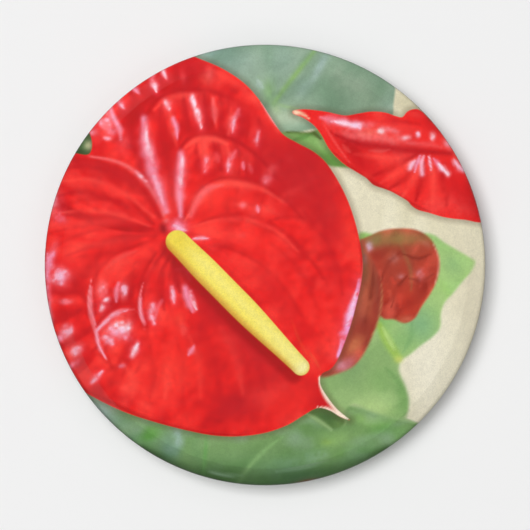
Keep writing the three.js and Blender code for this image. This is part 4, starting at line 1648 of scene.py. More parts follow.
@dataclass(frozen=True)
class Look:
    """The constant values of one finish's Principled shader."""

    name: str
    colour: str = "FFFFFF"
    roughness: float = 0.5
    metallic: float = 0.0
    ior: float = 1.5
    specular: float = 0.5
    coat: float = 0.0
    coat_roughness: float = 0.03
    alpha: float = 1.0

    def start(self) -> tuple[bpy.types.Material, Tree, bpy.types.Node]:
        """Make the material with its shader's constant values.

        Returns:
            The material, its tree's builder and its Principled shader.
        """
        material = bpy.data.materials.new(self.name)
        material.use_nodes = True
        material.node_tree.nodes.clear()
        build = Tree.of(material.node_tree)
        linear = linear_colour(display_colour(self.colour))
        shader = build.add(
            "ShaderNodeBsdfPrincipled",
            in_Base_Color=(*linear.tolist(), 1.0),
            in_Roughness=self.roughness,
            in_Metallic=self.metallic,
            in_IOR=self.ior,
            in_Specular_IOR_Level=self.specular,
            in_Coat_Weight=self.coat,
            in_Coat_Roughness=self.coat_roughness,
            in_Alpha=self.alpha,
        )
        build.add("ShaderNodeOutputMaterial", in_Surface=shader.outputs["BSDF"])
        material.diffuse_color = (*linear.tolist(), 1.0)
        return material, build, shader


def rgba(code: str) -> tuple[float, float, float, float]:
    """Give a display code as linear red, green, blue and full alpha."""
    return (*linear_colour(display_colour(code)).tolist(), 1.0)


def raised(build: Tree, shader: bpy.types.Node, height: object, strength: float, distance: float) -> None:
    """Feed a height into a shader's normal.

    Args:
        build: The material's tree builder.
        shader: The Principled shader.
        height: The height's socket.
        strength: The bump's strength.
        distance: The height of a full step, in metres.
    """
    bump = build.add("ShaderNodeBump", in_Strength=strength, in_Distance=distance, in_Height=height)
    build.feed(shader.inputs["Normal"], bump.outputs["Normal"])


@dataclass(frozen=True)
class PrintedPaper:
    """Coated picture paper: ink layers, fine grain and pale worn pleats."""

    look: Look = Look("Printed_paper", roughness=0.5, specular=0.15, coat=0.8, coat_roughness=0.06)
    softness: float = 0.0032
    speckle: Point = (0.90, 1.10)
    fine_scale: float = 5200.0
    broad_scale: float = 1500.0
    scuff_scale: float = 2600.0
    scuff_patch_scale: float = 420.0
    scuff_cover: float = 0.45
    scuff_tone: str = "EFEBE2"
    roughness: Point = (0.42, 0.6)
    tooth: float = 0.02 * MM

    def make(self, effects: Effects) -> bpy.types.Material:
        """Build the material.

        Args:
            effects: The shared groups.

        Returns:
            The material.
        """
        material, build, shader = self.look.start()
        place = build.object_place()
        colour = build.attribute("ground", "Color")
        for over, depth in (("petals", "petal_depth"), ("spadix", "spadix_depth")):
            colour = build.group(
                effects.ink,
                in_Under=colour,
                in_Over=build.attribute(over, "Color"),
                in_Depth=build.attribute(depth),
                in_Softness=self.softness,
            )
        grain = build.group(
            effects.grain, in_Vector=place, in_Fine_Scale=self.fine_scale, in_Broad_Scale=self.broad_scale
        )
        colour = build.blend(1.0, colour, build.ramp(grain, 0.25, 0.75, self.speckle), "MULTIPLY")
        scuffs = build.group(
            effects.grain,
            in_Vector=place,
            in_Fine_Scale=self.scuff_scale,
            in_Broad_Scale=self.scuff_patch_scale,
            in_Broad_Share=0.6,
        )
        worn = build.times(build.ramp(scuffs, 0.54, 0.66), build.attribute("wrap"))
        colour = build.blend(build.times(worn, self.scuff_cover), colour, rgba(self.scuff_tone))
        build.feed(shader.inputs["Base Color"], colour)
        build.feed(shader.inputs["Roughness"], build.ramp(grain, 0.3, 0.7, self.roughness))
        raised(build, shader, grain, 0.12, self.tooth)
        return material


@dataclass(frozen=True)
class ClearGloss:
    """The clear film over the print: a faint, glossy haze with fine waviness."""

    look: Look = Look("Clear_film", colour="B4B8C0", roughness=0.08, ior=1.5, alpha=0.008)
    fine_scale: float = 700.0
    broad_scale: float = 120.0
    roughness: Point = (0.04, 0.10)
    waviness: float = 0.03 * MM

    def make(self, effects: Effects) -> bpy.types.Material:
        """Build the material.

        Args:
            effects: The shared groups.

        Returns:
            The material.
        """
        material, build, shader = self.look.start()
        place = build.object_place()
        haze = build.group(
            effects.grain, in_Vector=place, in_Fine_Scale=self.fine_scale, in_Broad_Scale=self.broad_scale
        )
        build.feed(shader.inputs["Roughness"], build.ramp(haze, 0.3, 0.7, self.roughness))
        raised(build, shader, haze, 0.08, self.waviness)
        return material


@dataclass(frozen=True)
class Tinplate:
    """Rolled, tinned steel: a dull bright grey with fine lines and ring marks."""

    look: Look = Look("Tinplate", colour="C9CACB", roughness=0.32, metallic=1.0)
    line_stretch: tuple[float, float, float] = (260.0, 260.0, 9000.0)
    cloud_scale: float = 140.0
    cloud_tones: tuple[str, str] = ("B9BBBC", "D6D6D4")
    line_tone: str = "A2A4A6"
    spot_scale: float = 620.0
    spot_size: float = 0.14
    spot_tone: str = "85827C"
    least_roughness: float = 0.14
    scratch_depth: float = 0.02 * MM

    def make(self, effects: Effects) -> bpy.types.Material:
        """Build the material.

        Args:
            effects: The shared groups.

        Returns:
            The material.
        """
        material, build, shader = self.look.start()
        place = build.object_place()
        stretched = build.add("ShaderNodeMapping", in_Vector=place, in_Scale=self.line_stretch)
        lines = build.noise(stretched.outputs[0], 1.0, 4.0)
        rings = build.group(effects.turning, in_Vector=place)
        clouds = build.noise(place, self.cloud_scale, 5.0)
        spots = build.group(
            effects.specks, in_Vector=place, in_Scale=self.spot_scale, in_Size=self.spot_size
        )
        dull, bright = (rgba(tone) for tone in self.cloud_tones)
        tone = build.blend(build.ramp(clouds, 0.35, 0.65), dull, bright)
        tone = build.blend(build.times(lines, 0.25), tone, rgba(self.line_tone))
        tone = build.blend(build.times(spots, 0.45), tone, rgba(self.spot_tone))
        build.feed(shader.inputs["Base Color"], tone)
        rough = build.plus(build.times(lines, 0.22), self.least_roughness)
        rough = build.plus(rough, build.times(clouds, 0.14))
        rough = build.plus(rough, build.times(spots, 0.2))
        build.feed(shader.inputs["Roughness"], rough)
        raised(build, shader, build.plus(build.times(rings, 0.5), lines), 0.15, self.scratch_depth)
        return material


@dataclass(frozen=True)
class Ferrite:
    """Sintered ferrite: charcoal, pitted, with grinding marks on its faces; its pits are darkened with
    painted shade.
    """

    look: Look = Look("Ferrite", colour="35363A", roughness=0.55)
    fine_scale: float = 6500.0
    broad_scale: float = 380.0
    grain_tones: tuple[str, str] = ("2B2C30", "45464B")
    pit_scale: float = 1100.0
    pit_size: float = 0.2
    pit_shade_tone: str = "1A1A1D"
    score_turn: tuple[float, float, float] = (0.0, 0.6, 0.0)
    score_stretch: tuple[float, float, float] = (6500.0, 300.0, 120.0)
    score_tone: str = "5A5B60"
    worn_tone: str = "77787C"
    least_roughness: float = 0.36
    pit_depth: float = 0.05 * MM

    def make(self, effects: Effects) -> bpy.types.Material:
        """Build the material.

        Args:
            effects: The shared groups.

        Returns:
            The material.
        """
        material, build, shader = self.look.start()
        place = build.object_place()
        grain = build.group(
            effects.grain, in_Vector=place, in_Fine_Scale=self.fine_scale, in_Broad_Scale=self.broad_scale
        )
        pits = build.group(effects.specks, in_Vector=place, in_Scale=self.pit_scale, in_Size=self.pit_size)
        stretched = build.add(
            "ShaderNodeMapping", in_Vector=place, in_Rotation=self.score_turn, in_Scale=self.score_stretch
        )
        scores = build.noise(stretched.outputs[0], 1.0, 3.0)
        rub = build.times(build.attribute("edge"), build.ramp(grain, 0.4, 0.6))
        dark, light = (rgba(tone) for tone in self.grain_tones)
        tone = build.blend(build.ramp(grain, 0.3, 0.7), dark, light)
        tone = build.blend(build.times(scores, 0.25), tone, rgba(self.score_tone))
        tone = build.blend(build.times(rub, 0.6), tone, rgba(self.worn_tone))
        # painted shade: the pits are darkened where shade would fall inside them; their dent is a real bump
        # below
        tone = build.blend(build.times(pits, 0.7), tone, rgba(self.pit_shade_tone))
        build.feed(shader.inputs["Base Color"], tone)
        build.feed(shader.inputs["Roughness"], build.plus(build.times(grain, 0.3), self.least_roughness))
        height = build.math("SUBTRACT", grain, build.times(pits, 0.9))
        raised(build, shader, build.plus(height, build.times(scores, 0.4)), 0.35, self.pit_depth)
        return material


@dataclass(frozen=True)
class FoamTape:
    """Closed-cell foam tape: off-white, with small open bubbles at its cut edge; the bubbles are darkened
    with painted shade.
    """

    look: Look = Look("Foam_tape", colour="E6E3DA", roughness=0.85)
    cell_scale: float = 5200.0
    cell_size: float = 0.42
    cell_shade_tone: str = "A9A496"
    grain_tones: tuple[str, str] = ("DAD6CB", "F0EEE6")
    roughness: Point = (0.78, 0.94)
    cell_depth: float = 0.05 * MM

    def make(self, effects: Effects) -> bpy.types.Material:
        """Build the material.

        Args:
            effects: The shared groups.

        Returns:
            The material.
        """
        material, build, shader = self.look.start()
        place = build.object_place()
        cells = build.group(
            effects.specks, in_Vector=place, in_Scale=self.cell_scale, in_Size=self.cell_size
        )
        grain = build.group(effects.grain, in_Vector=place)
        dark, light = (rgba(tone) for tone in self.grain_tones)
        tone = build.blend(build.ramp(grain, 0.3, 0.7), dark, light)
        # painted shade inside the open bubbles, which are also dented by the bump below
        tone = build.blend(build.times(cells, 0.35), tone, rgba(self.cell_shade_tone))
        build.feed(shader.inputs["Base Color"], tone)
        build.feed(shader.inputs["Roughness"], build.ramp(grain, 0.3, 0.7, self.roughness))
        raised(build, shader, build.math("SUBTRACT", grain, cells), 0.6, self.cell_depth)
        return material


class Finish(Enum):
    """The finishes of the magnet's pieces."""

    PRINT = PrintedPaper()
    FILM = ClearGloss()
    TIN = Tinplate()
    FERRITE = Ferrite()
    FOAM = FoamTape()


@dataclass
class Palette:
    """The finished materials, each built once."""

    effects: Effects = field(default_factory=Effects)
    made: dict[Finish, bpy.types.Material] = field(default_factory=dict)

    def get(self, finish: Finish) -> bpy.types.Material:
        """Give a finish's material, and build it the first time.

        Args:
            finish: The finish wanted.

        Returns:
            The material.
        """
        if finish not in self.made:
            self.made[finish] = finish.value.make(self.effects)
        return self.made[finish]


# ---------------------------------------------------------------------------
# Shapes: profiles as (radius, depth) in metres, turned about the button's axis
# ---------------------------------------------------------------------------


@dataclass(frozen=True)
class ButtonSizes:
    """The sizes of the button's section, as the frame has them."""

    radius: float = 28.575 * MM
    face_curve: float = 290.0 * MM
    bend: float = 0.8 * MM
    bevel_tilt: float = radians(24.0)
    bevel_width: float = 1.6 * MM
    edge: float = 0.95 * MM
    wall: float = 0.4 * MM
    rim: float = 0.95 * MM
    hem_tilt: float = radians(25.0)
    hem_length: float = 1.9 * MM
    film: float = 0.08 * MM
    paper: float = 0.12 * MM
    layer_gap: float = 0.02 * MM
    plate: float = 0.3 * MM
    plate_lap: float = 0.7 * MM
    plate_flat: float = 1.7 * MM
    bead_width: float = 2.2 * MM
    bead_height: float = 0.5 * MM
    platform_margin: float = 4.4 * MM
    platform_rise: float = 0.32 * MM
    platform_ramp: float = 1.4 * MM
    magnet_radius: float = 12.7 * MM
    magnet_thick: float = 3.0 * MM
    magnet_chamfer: float = 0.4 * MM
    pad_inset: float = 1.1 * MM
    pad_thick: float = 0.8 * MM
    seat_gap: float = 0.04 * MM

    @property
    def pad_back(self) -> float:
        """Depth of the pad's back face."""
        return self.magnet_thick + self.seat_gap

    @property
    def platform_back(self) -> float:
        """Depth of the plate's raised platform."""
        return self.pad_back + self.pad_thick + self.seat_gap

    @property
    def flange_back(self) -> float:
        """Depth of the plate's flange."""
        return self.platform_back + self.platform_rise

    @property
    def hem_start(self) -> float:
        """Radius where the hem leaves the rim."""
        return self.radius - self.rim - self.rim * sin(self.hem_tilt)

    @property
    def plate_radius(self) -> float:
        """Radius of the back plate's edge."""
        return self.hem_start - self.hem_length * cos(self.hem_tilt) + self.plate_lap

    @property
    def rim_depth(self) -> float:
        """Depth of the rim's centre, where the hem just clears the plate."""
        clear = self.flange_back + self.plate + self.seat_gap / cos(self.hem_tilt)
        slope = (self.hem_start - self.plate_radius) * tan(self.hem_tilt)
        return clear + self.rim * cos(self.hem_tilt) - slope

    @property
    def edge_depth(self) -> float:
        """Depth of the centre of the roll from the bevel into the wall."""
        return self.rim_depth + self.wall

    @property
    def bend_centre(self) -> Point:
        """Centre of the small roll from the crown into the bevel."""
        tilt = self.bevel_tilt
        radius = self.radius - self.edge * (1 - sin(tilt)) - self.bevel_width
        depth = self.edge_depth + self.edge * cos(tilt) + self.bevel_width * tan(tilt)
        return radius - self.bend * sin(tilt), depth - self.bend * cos(tilt)

    @property
    def crown_angle(self) -> float:
        """Angle at which the crown runs into the bend."""
        return asin(self.bend_centre[0] / (self.face_curve - self.bend))

    @property
    def crown_centre(self) -> float:
        """Depth of the crown's centre of curvature."""
        return self.bend_centre[1] - (self.face_curve - self.bend) * cos(self.crown_angle)


def arc(centre: Point, size: float, start: float, end: float, steps: int) -> Array:
    """Draw an arc; angles run from the radius direction towards depth.

    Args:
        centre: The arc's centre as (radius, depth).
        size: The arc's own radius.
        start: The first angle.
        end: The last angle.
        steps: How many straight pieces to use.

    Returns:
        The arc's points, one row each.
    """
    angle = np.linspace(start, end, steps + 1)
    return np.column_stack([centre[0] + size * np.cos(angle), centre[1] + size * np.sin(angle)])


def offset(points: Array, distance: float) -> Array:
    """Move a polyline sideways, with mitred corners.

    Args:
        points: The polyline.
        distance: How far to move it, inwards on a skin's curve.

    Returns:
        The moved polyline.
    """
    along = np.diff(points, axis=0)
    along = along / np.linalg.norm(along, axis=1)[:, None]
    side = np.column_stack([along[:, 1], -along[:, 0]])
    before = np.vstack([side[:1], side])
    after = np.vstack([side, side[-1:]])
    mitre = before + after
    moved = points + mitre * (2 * distance / (mitre**2).sum(axis=1))[:, None]
    moved[points[:, 0] == 0.0, 0] = 0.0
    return moved


@dataclass(frozen=True)
class EdgeSteps:
    """How many straight pieces draw each stretch of a skin's edge."""

    bend: int
    bevel: int
    roll: int
    rim: int
    hem: int


@dataclass(frozen=True)
class SkinCurve:
    """The outer surface of the skins, from the middle of the face to the hem."""

    sizes: ButtonSizes

    def edge(self, steps: EdgeSteps) -> Array:
        """Draw the curve from the crown's edge onwards.

        Args:
            steps: How finely to draw it.

        Returns:
            The curve's points.
        """
        z = self.sizes
        bevel = HALF_PI - z.bevel_tilt
        bend = arc(z.bend_centre, z.bend, HALF_PI - z.crown_angle, bevel, steps.bend)
        roll = arc((z.radius - z.edge, z.edge_depth), z.edge, bevel, 0.0, steps.roll)
        flat = np.linspace(bend[-1], roll[0], steps.bevel + 1)[1:-1]
        rim = arc((z.radius - z.rim, z.rim_depth), z.rim, 0.0, -HALF_PI - z.hem_tilt, steps.rim)
        share = (np.arange(steps.hem) + 1)[:, None] / steps.hem
        slope = np.array([[-cos(z.hem_tilt), sin(z.hem_tilt)]])
        hem = rim[-1] + slope * z.hem_length * share
        return np.vstack([bend, flat, roll, rim, hem])

    def crown(self, steps: int) -> Array:
        """Draw the crown, without its last point.

        Args:
            steps: Straight pieces in the crown.

        Returns:
            The crown's points, from the axis.
        """
        z = self.sizes
        centre = (0.0, z.crown_centre)
        points = arc(centre, z.face_curve, HALF_PI, HALF_PI - z.crown_angle, steps)[:-1]
        points[0, 0] = 0.0
        return points


@dataclass
class Shell:
    """A mesh in the making: its corners and faces."""

    corners: Array
    faces: list[tuple[int, ...]]

    def object(self, name: str) -> bpy.types.Object:
        """Make the mesh object, smooth and in the scene.

        Args:
            name: The piece's name.

        Returns:
            The new object.
        """
        mesh = bpy.data.meshes.new(name)
        mesh.from_pydata(self.corners.tolist(), [], self.faces)
        mesh.update()
        mesh.shade_smooth()
        made = bpy.data.objects.new(name, mesh)
        bpy.context.scene.collection.objects.link(made)
        return made


def turned(profile: Array, segments: int) -> Shell:
    """Turn a profile that starts and ends on the axis into a closed shell.

    Args:
        profile: (radius, depth) points, from the face's side round to the back.
        segments: Steps about the axis.

    Returns:
        The shell, with its faces outwards.
    """
    angle = np.arange(segments) * 2 * pi / segments
    inner = profile[1:-1]
    rings = np.stack(
        [
            inner[:, :1] * np.cos(angle),
            np.broadcast_to(-inner[:, 1:], (len(inner), segments)),
            inner[:, :1] * np.sin(angle),
        ],
        axis=2,
    ).reshape(-1, 3)
    poles = np.array([[0.0, -profile[0, 1], 0.0], [0.0, -profile[-1, 1], 0.0]])
    first = len(rings)
    faces: list[tuple[int, ...]] = []
    for j in range(segments):
        k = (j + 1) % segments
        faces.append((first, j, k))
    for i in range(len(inner) - 1):
        a = i * segments
        b = a + segments
        for j in range(segments):
            k = (j + 1) % segments
            faces.append((a + j, b + j, b + k, a + k))
    end = (len(inner) - 1) * segments
    for j in range(segments):
        k = (j + 1) % segments
        faces.append((end + j, first + 1, end + k))
    return Shell(np.vstack([rings, poles]), faces)


def turn_of(mesh: bpy.types.Mesh) -> Array:
    """Give each corner's angle about the button's axis.

    Args:
        mesh: The mesh.

    Returns:
        The angles, from +X towards +Z.
    """
    co = np.empty(len(mesh.vertices) * 3)
    mesh.vertices.foreach_get("co", co)
    co = co.reshape(-1, 3)
    return np.arctan2(co[:, 2], co[:, 0])


def shaded(piece: bpy.types.Object, corner: float) -> None:
    """Keep the edges sharper than an angle crisp.

    Args:
        piece: The mesh object.
        corner: The angle in radians.
    """
    piece.data.set_sharp_from_angle(angle=corner)


@dataclass(frozen=True)
class PleatTree:
    """Geometry nodes that gather a turned-in hem into small pleats."""

    name: str = "Hem_pleats"
    count: float = 76.0
    height: float = 0.11 * MM
    outer: float = 27.75 * MM
    full_outer: float = 27.1 * MM
    full_inner: float = 26.75 * MM
    inner: float = 26.3 * MM
    behind: float = -5.0 * MM
    wander: float = 22.0
    wander_scale: float = 4.0
    uneven_scale: float = 9.0
    least: float = 0.25
    sharpness: float = 3.0
    seed: float = 3.7

    def build(self) -> bpy.types.NodeTree:
        """Make the geometry node tree.

        Returns:
            The tree.
        """
        tree = bpy.data.node_groups.new(self.name, "GeometryNodeTree")
        sockets = (
            ("Geometry", "INPUT", "NodeSocketGeometry"),
            ("Pleat Count", "INPUT", "NodeSocketFloat"),
            ("Pleat Height", "INPUT", "NodeSocketFloat"),
            ("Seed", "INPUT", "NodeSocketFloat"),
            ("Finish", "INPUT", "NodeSocketMaterial"),
            ("Geometry", "OUTPUT", "NodeSocketGeometry"),
        )
        for name, way, kind in sockets:
            tree.interface.new_socket(name=name, in_out=way, socket_type=kind)
        build = Tree.of(tree)
        entry = build.add("NodeGroupInput")
        place = build.add("GeometryNodeInputPosition")
        split = build.add("ShaderNodeSeparateXYZ", in_Vector=place.outputs[0])
        x = split.outputs["X"]
        y = split.outputs["Y"]
        z = split.outputs["Z"]
        radius = build.math("SQRT", build.plus(build.times(x, x), build.times(z, z)))
        angle = build.math("ARCTAN2", z, x)
        across = build.math("DIVIDE", x, radius)
        up = build.math("DIVIDE", z, radius)
        around = build.add("ShaderNodeCombineXYZ", in_X=across, in_Y=up).outputs[0]
        seed = entry.outputs["Seed"]
        wander, uneven = (
            build.add(
                "ShaderNodeTexNoise", noise_dimensions="4D", in_Vector=around, in_W=number, in_Scale=scale
            ).outputs["Fac"]
            for number, scale in ((seed, self.wander_scale), (build.plus(seed, 5.0), self.uneven_scale))
        )
        phase = build.times(angle, entry.outputs["Pleat Count"])
        phase = build.plus(phase, build.times(wander, self.wander))
        wave = build.plus(build.times(build.math("SINE", phase), 0.5), 0.5)
        fold = build.math("POWER", wave, self.sharpness)
        fold = build.times(fold, build.ramp(uneven, 0.35, 0.6, (self.least, 1.0)))
        rise = build.ramp(radius, self.outer, self.full_outer)
        mask = build.times(rise, build.ramp(radius, self.inner, self.full_inner))
        mask = build.times(mask, build.math("GREATER_THAN", y, self.behind))
        lift = build.times(build.times(fold, mask), entry.outputs["Pleat Height"])
        move = build.add("ShaderNodeCombineXYZ", in_Y=lift)
        shift = build.add(
            "GeometryNodeSetPosition", in_Geometry=entry.outputs["Geometry"], in_Offset=move.outputs[0]
        )
        real = build.add("GeometryNodeRealizeInstances", in_Geometry=shift.outputs[0])
        dressed = build.add(
            "GeometryNodeSetMaterial", in_Geometry=real.outputs[0], in_Material=entry.outputs["Finish"]
        )
        end = build.add("NodeGroupOutput")
        build.feed(end.inputs["Geometry"], dressed.outputs[0])
        return tree

    def gather(self, piece: bpy.types.Object, finish: bpy.types.Material) -> bpy.types.Object:
        """Pleat a piece's hem and bake the result to a plain mesh.

        Args:
            piece: The object whose hem is gathered.
            finish: The material that it ends in.

        Returns:
            The same object with its new mesh.
        """
        tree = bpy.data.node_groups.get(self.name) or self.build()
        modifier = piece.modifiers.new("Pleats", "NODES")
        modifier.node_group = tree
        values = {
            "Pleat Count": self.count,
            "Pleat Height": self.height,
            "Seed": self.seed,
            "Finish": finish,
        }
        for item in tree.interface.items_tree:
            if item.in_out == "INPUT" and item.name in values:
                modifier[item.identifier] = values[item.name]
        scene_graph = bpy.context.evaluated_depsgraph_get()
        baked = bpy.data.meshes.new_from_object(
            piece.evaluated_get(scene_graph), preserve_all_data_layers=True, depsgraph=scene_graph
        )
        piece.modifiers.remove(modifier)
        old = piece.data
        piece.data = baked
        bpy.data.meshes.remove(old)
        baked.name = piece.name
        return piece


# ---------------------------------------------------------------------------
# The magnet's pieces
# ---------------------------------------------------------------------------


@dataclass
class PrintedDisc:
    """The paper disc with the picture, turned over the rim and pleated behind."""

    sizes: ButtonSizes
    palette: Palette
    cells: int = 244
    outer_steps: EdgeSteps = EdgeSteps(bend=3, bevel=5, roll=5, rim=8, hem=3)
    inner_steps: EdgeSteps = EdgeSteps(bend=1, bevel=1, roll=2, rim=3, hem=1)
    outer_crown: int = 6
    inner_crown: int = 3
    centre_share: float = 0.04
    wall_share: float = 0.35
    wrap_from: Point = (1.02, 1.10)
    ink_depth: float = 0.014
    uv_half: float = 0.495
    uv_inner_half: float = 0.075
    uv_inner_middle: float = 0.08
    name: str = "picture_paper"

    def face_grid(self, rim_radius: float) -> tuple[Array, Array, Whole]:
        """Lay a square grid over the crown, with its border on a circle.

        Args:
            rim_radius: The circle's radius.

        Returns:
            The grid's x and z places, and its corners' numbers as a square table.
        """
        n = self.cells
        side = np.linspace(-1.0, 1.0, n + 1)
        a, b = np.meshgrid(side, side, indexing="ij")
        wide = np.abs(a) >= np.abs(b)
        with np.errstate(divide="ignore", invalid="ignore"):
            r = np.where(wide, a, b)
            turn = np.where(wide, (pi / 4) * b / a, HALF_PI - (pi / 4) * a / b)
        turn = np.nan_to_num(turn)
        number = np.arange((n + 1) ** 2).reshape(n + 1, n + 1)
        return r * np.cos(turn) * rim_radius, r * np.sin(turn) * rim_radius, number

    def border(self, number: Whole) -> Whole:
        """List the grid's border corners in order about the axis.

        Args:
            number: The grid's corners' numbers.

        Returns:
            The border's corner numbers, anticlockwise as the face is seen.
        """
        right = number[-1, :-1]
        top = number[::-1, -1][:-1]
        left = number[0, ::-1][:-1]
        bottom = number[:-1, 0]
        return np.concatenate([right, top, left, bottom])

    def build(self) -> bpy.types.Object:
        """Build, paint, pleat and register the piece.

        Returns:
            The finished piece.
        """
        z = self.sizes
        curve = SkinCurve(z)
        edge = curve.edge(self.outer_steps)
        crown = curve.crown(self.outer_crown)
        whole = np.vstack([crown, edge])
        outer = offset(whole, z.film + z.layer_gap)[len(crown) :]
        coarse_edge = curve.edge(self.inner_steps)
        coarse = np.vstack([curve.crown(self.inner_crown), coarse_edge])
        inner = offset(coarse, z.film + z.layer_gap + z.paper)[::-1]
        inner[-1] += (inner[-2] - inner[-1]) * self.centre_share
        x, up, number = self.face_grid(outer[0, 0])
        sphere = z.face_curve - z.film - z.layer_gap
        depth = z.crown_centre + np.sqrt(sphere**2 - x**2 - up**2)
        corners = [np.column_stack([x.ravel(), -depth.ravel(), up.ravel()])]
        n = self.cells
        quads = np.stack(
            [number[:-1, :-1], number[1:, :-1], number[1:, 1:], number[:-1, 1:]], axis=2
        ).reshape(-1, 4)
        ring = self.border(number)
        flat = corners[0]
        turn = np.arctan2(flat[ring, 2], flat[ring, 0])
        count = (n + 1) ** 2
        walls = []
        for radius, level in np.vstack([outer[1:], inner]):
            corners.append(
                np.column_stack([radius * np.cos(turn), np.full(turn.shape, -level), radius * np.sin(turn)])
            )
            fresh = np.arange(count, count + turn.size)
            count += turn.size
            nxt = np.roll(np.arange(turn.size), -1)
            walls.append(np.column_stack([ring, fresh, fresh[nxt], ring[nxt]]))
            ring = fresh
        faces = [tuple(f) for f in np.vstack([quads, *walls]).tolist()]
        faces.append(tuple(ring[::-1].tolist()))
        shell = Shell(np.vstack(corners), faces)
        reach = self.unrolled(shell.corners, outer)
        piece = shell.object(self.name)
        self.paint(piece, reach)
        self.unwrap(piece, reach, (n + 1) ** 2 + (len(outer) - 1) * turn.size)
        PleatTree().gather(piece, self.palette.get(Finish.PRINT))
        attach(piece, "root")
        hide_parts("printed_disc")
        return piece

    def unrolled(self, corners: Array, outer: Array) -> Array:
        """Give each corner's distance from the axis along the paper, in face units.

        Args:
            corners: The mesh's corners.
            outer: The outer curve past the crown.

        Returns:
            One distance for each corner.
        """
        radius = np.hypot(corners[:, 0], corners[:, 2])
        reach = radius.copy()
        step = np.linalg.norm(np.diff(outer, axis=0), axis=1)
        inward = np.abs(np.diff(outer[:, 0]))
        front = outer[1:, 1] > self.sizes.edge_depth - TINY
        pace = np.where(front, np.maximum(inward, self.wall_share * step), step)
        far = outer[0, 0] + np.cumsum(pace)
        start = (self.cells + 1) ** 2
        ring = 4 * self.cells
        for i, value in enumerate(far):
            reach[start + i * ring : start + (i + 1) * ring] = value
        back = start + len(far) * ring
        reach[back:] = np.minimum(radius[back:], reach.max())
        return reach / self.sizes.radius

    def paint(self, piece: bpy.types.Object, reach: Array) -> None:
        """Store the picture's layers on the mesh.

        Args:
            piece: The mesh object.
            reach: Each corner's distance from the axis along the paper.
        """
        mesh = piece.data
        turn = turn_of(mesh)
        u = reach * np.cos(turn)
        v = reach * np.sin(turn)
        picture = FlowerPainter().paint(u, v)
        for name, display in (
            ("ground", picture.ground),
            ("petals", picture.petals),
            ("spadix", picture.spadix),
        ):
            layer = mesh.color_attributes.new(name, "FLOAT_COLOR", "POINT")
            deep = np.maximum(linear_colour(display) - self.ink_depth, 0.0) / (1.0 - self.ink_depth)
            linear = np.column_stack([deep, np.ones(len(display))])
            layer.data.foreach_set("color", linear.ravel().astype(np.float32))
        wrap = ease(*self.wrap_from, reach)
        for name, value in (
            ("petal_depth", picture.petal_depth),
            ("spadix_depth", picture.spadix_depth),
            ("wrap", wrap),
        ):
            layer = mesh.attributes.new(name, "FLOAT", "POINT")
            layer.data.foreach_set("value", value.astype(np.float32))

    def unwrap(self, piece: bpy.types.Object, reach: Array, first_inner: int) -> None:
        """Lay the paper out flat in a UV map, its inner side in a corner.

        Args:
            piece: The mesh object.
            reach: Each corner's distance from the axis along the paper.
            first_inner: The number of the first corner on the inner side.
        """
        mesh = piece.data
        turn = turn_of(mesh)
        big = self.uv_half / reach[:first_inner].max()
        radius = reach * big
        u = 0.5 + radius * np.cos(turn)
        v = 0.5 + radius * np.sin(turn)
        vertex = np.empty(len(mesh.loops), dtype=np.int64)
        mesh.loops.foreach_get("vertex_index", vertex)
        start = np.empty(len(mesh.polygons), dtype=np.int64)
        total = np.empty(len(mesh.polygons), dtype=np.int64)
        mesh.polygons.foreach_get("loop_start", start)
        mesh.polygons.foreach_get("loop_total", total)
        owner = np.repeat(np.arange(len(start)), total)
        highest = np.zeros(len(start), dtype=np.int64)
        np.maximum.at(highest, owner, vertex)
        back = highest[owner] >= first_inner
        small = reach[vertex] * self.uv_inner_half / reach.max()
        corner_u = self.uv_inner_middle - small * np.cos(turn[vertex])
        corner_v = self.uv_inner_middle + small * np.sin(turn[vertex])
        uv = np.column_stack([np.where(back, corner_u, u[vertex]), np.where(back, corner_v, v[vertex])])
        layer = mesh.uv_layers.new(name="OFBake")
        layer.data.foreach_set("uv", uv.ravel().astype(np.float32))


@dataclass
class ClearFilm:
    """The clear film that covers the print and is tucked in with it."""

    sizes: ButtonSizes
    palette: Palette
    segments: int = 512
    crown_steps: int = 12
    steps: EdgeSteps = EdgeSteps(bend=5, bevel=3, roll=8, rim=10, hem=6)
    name: str = "gloss_film"

    def build(self) -> bpy.types.Object:
        """Build, pleat and register the piece.

        Returns:
            The finished piece.
        """
        z = self.sizes
        curve = SkinCurve(z)
        whole = np.vstack([curve.crown(self.crown_steps), curve.edge(self.steps)])
        profile = np.vstack([whole, offset(whole, z.film)[::-1]])
        piece = turned(profile, self.segments).object(self.name)
        PleatTree().gather(piece, self.palette.get(Finish.FILM))
        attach(piece, "root")
        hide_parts("clear_film")
        return piece


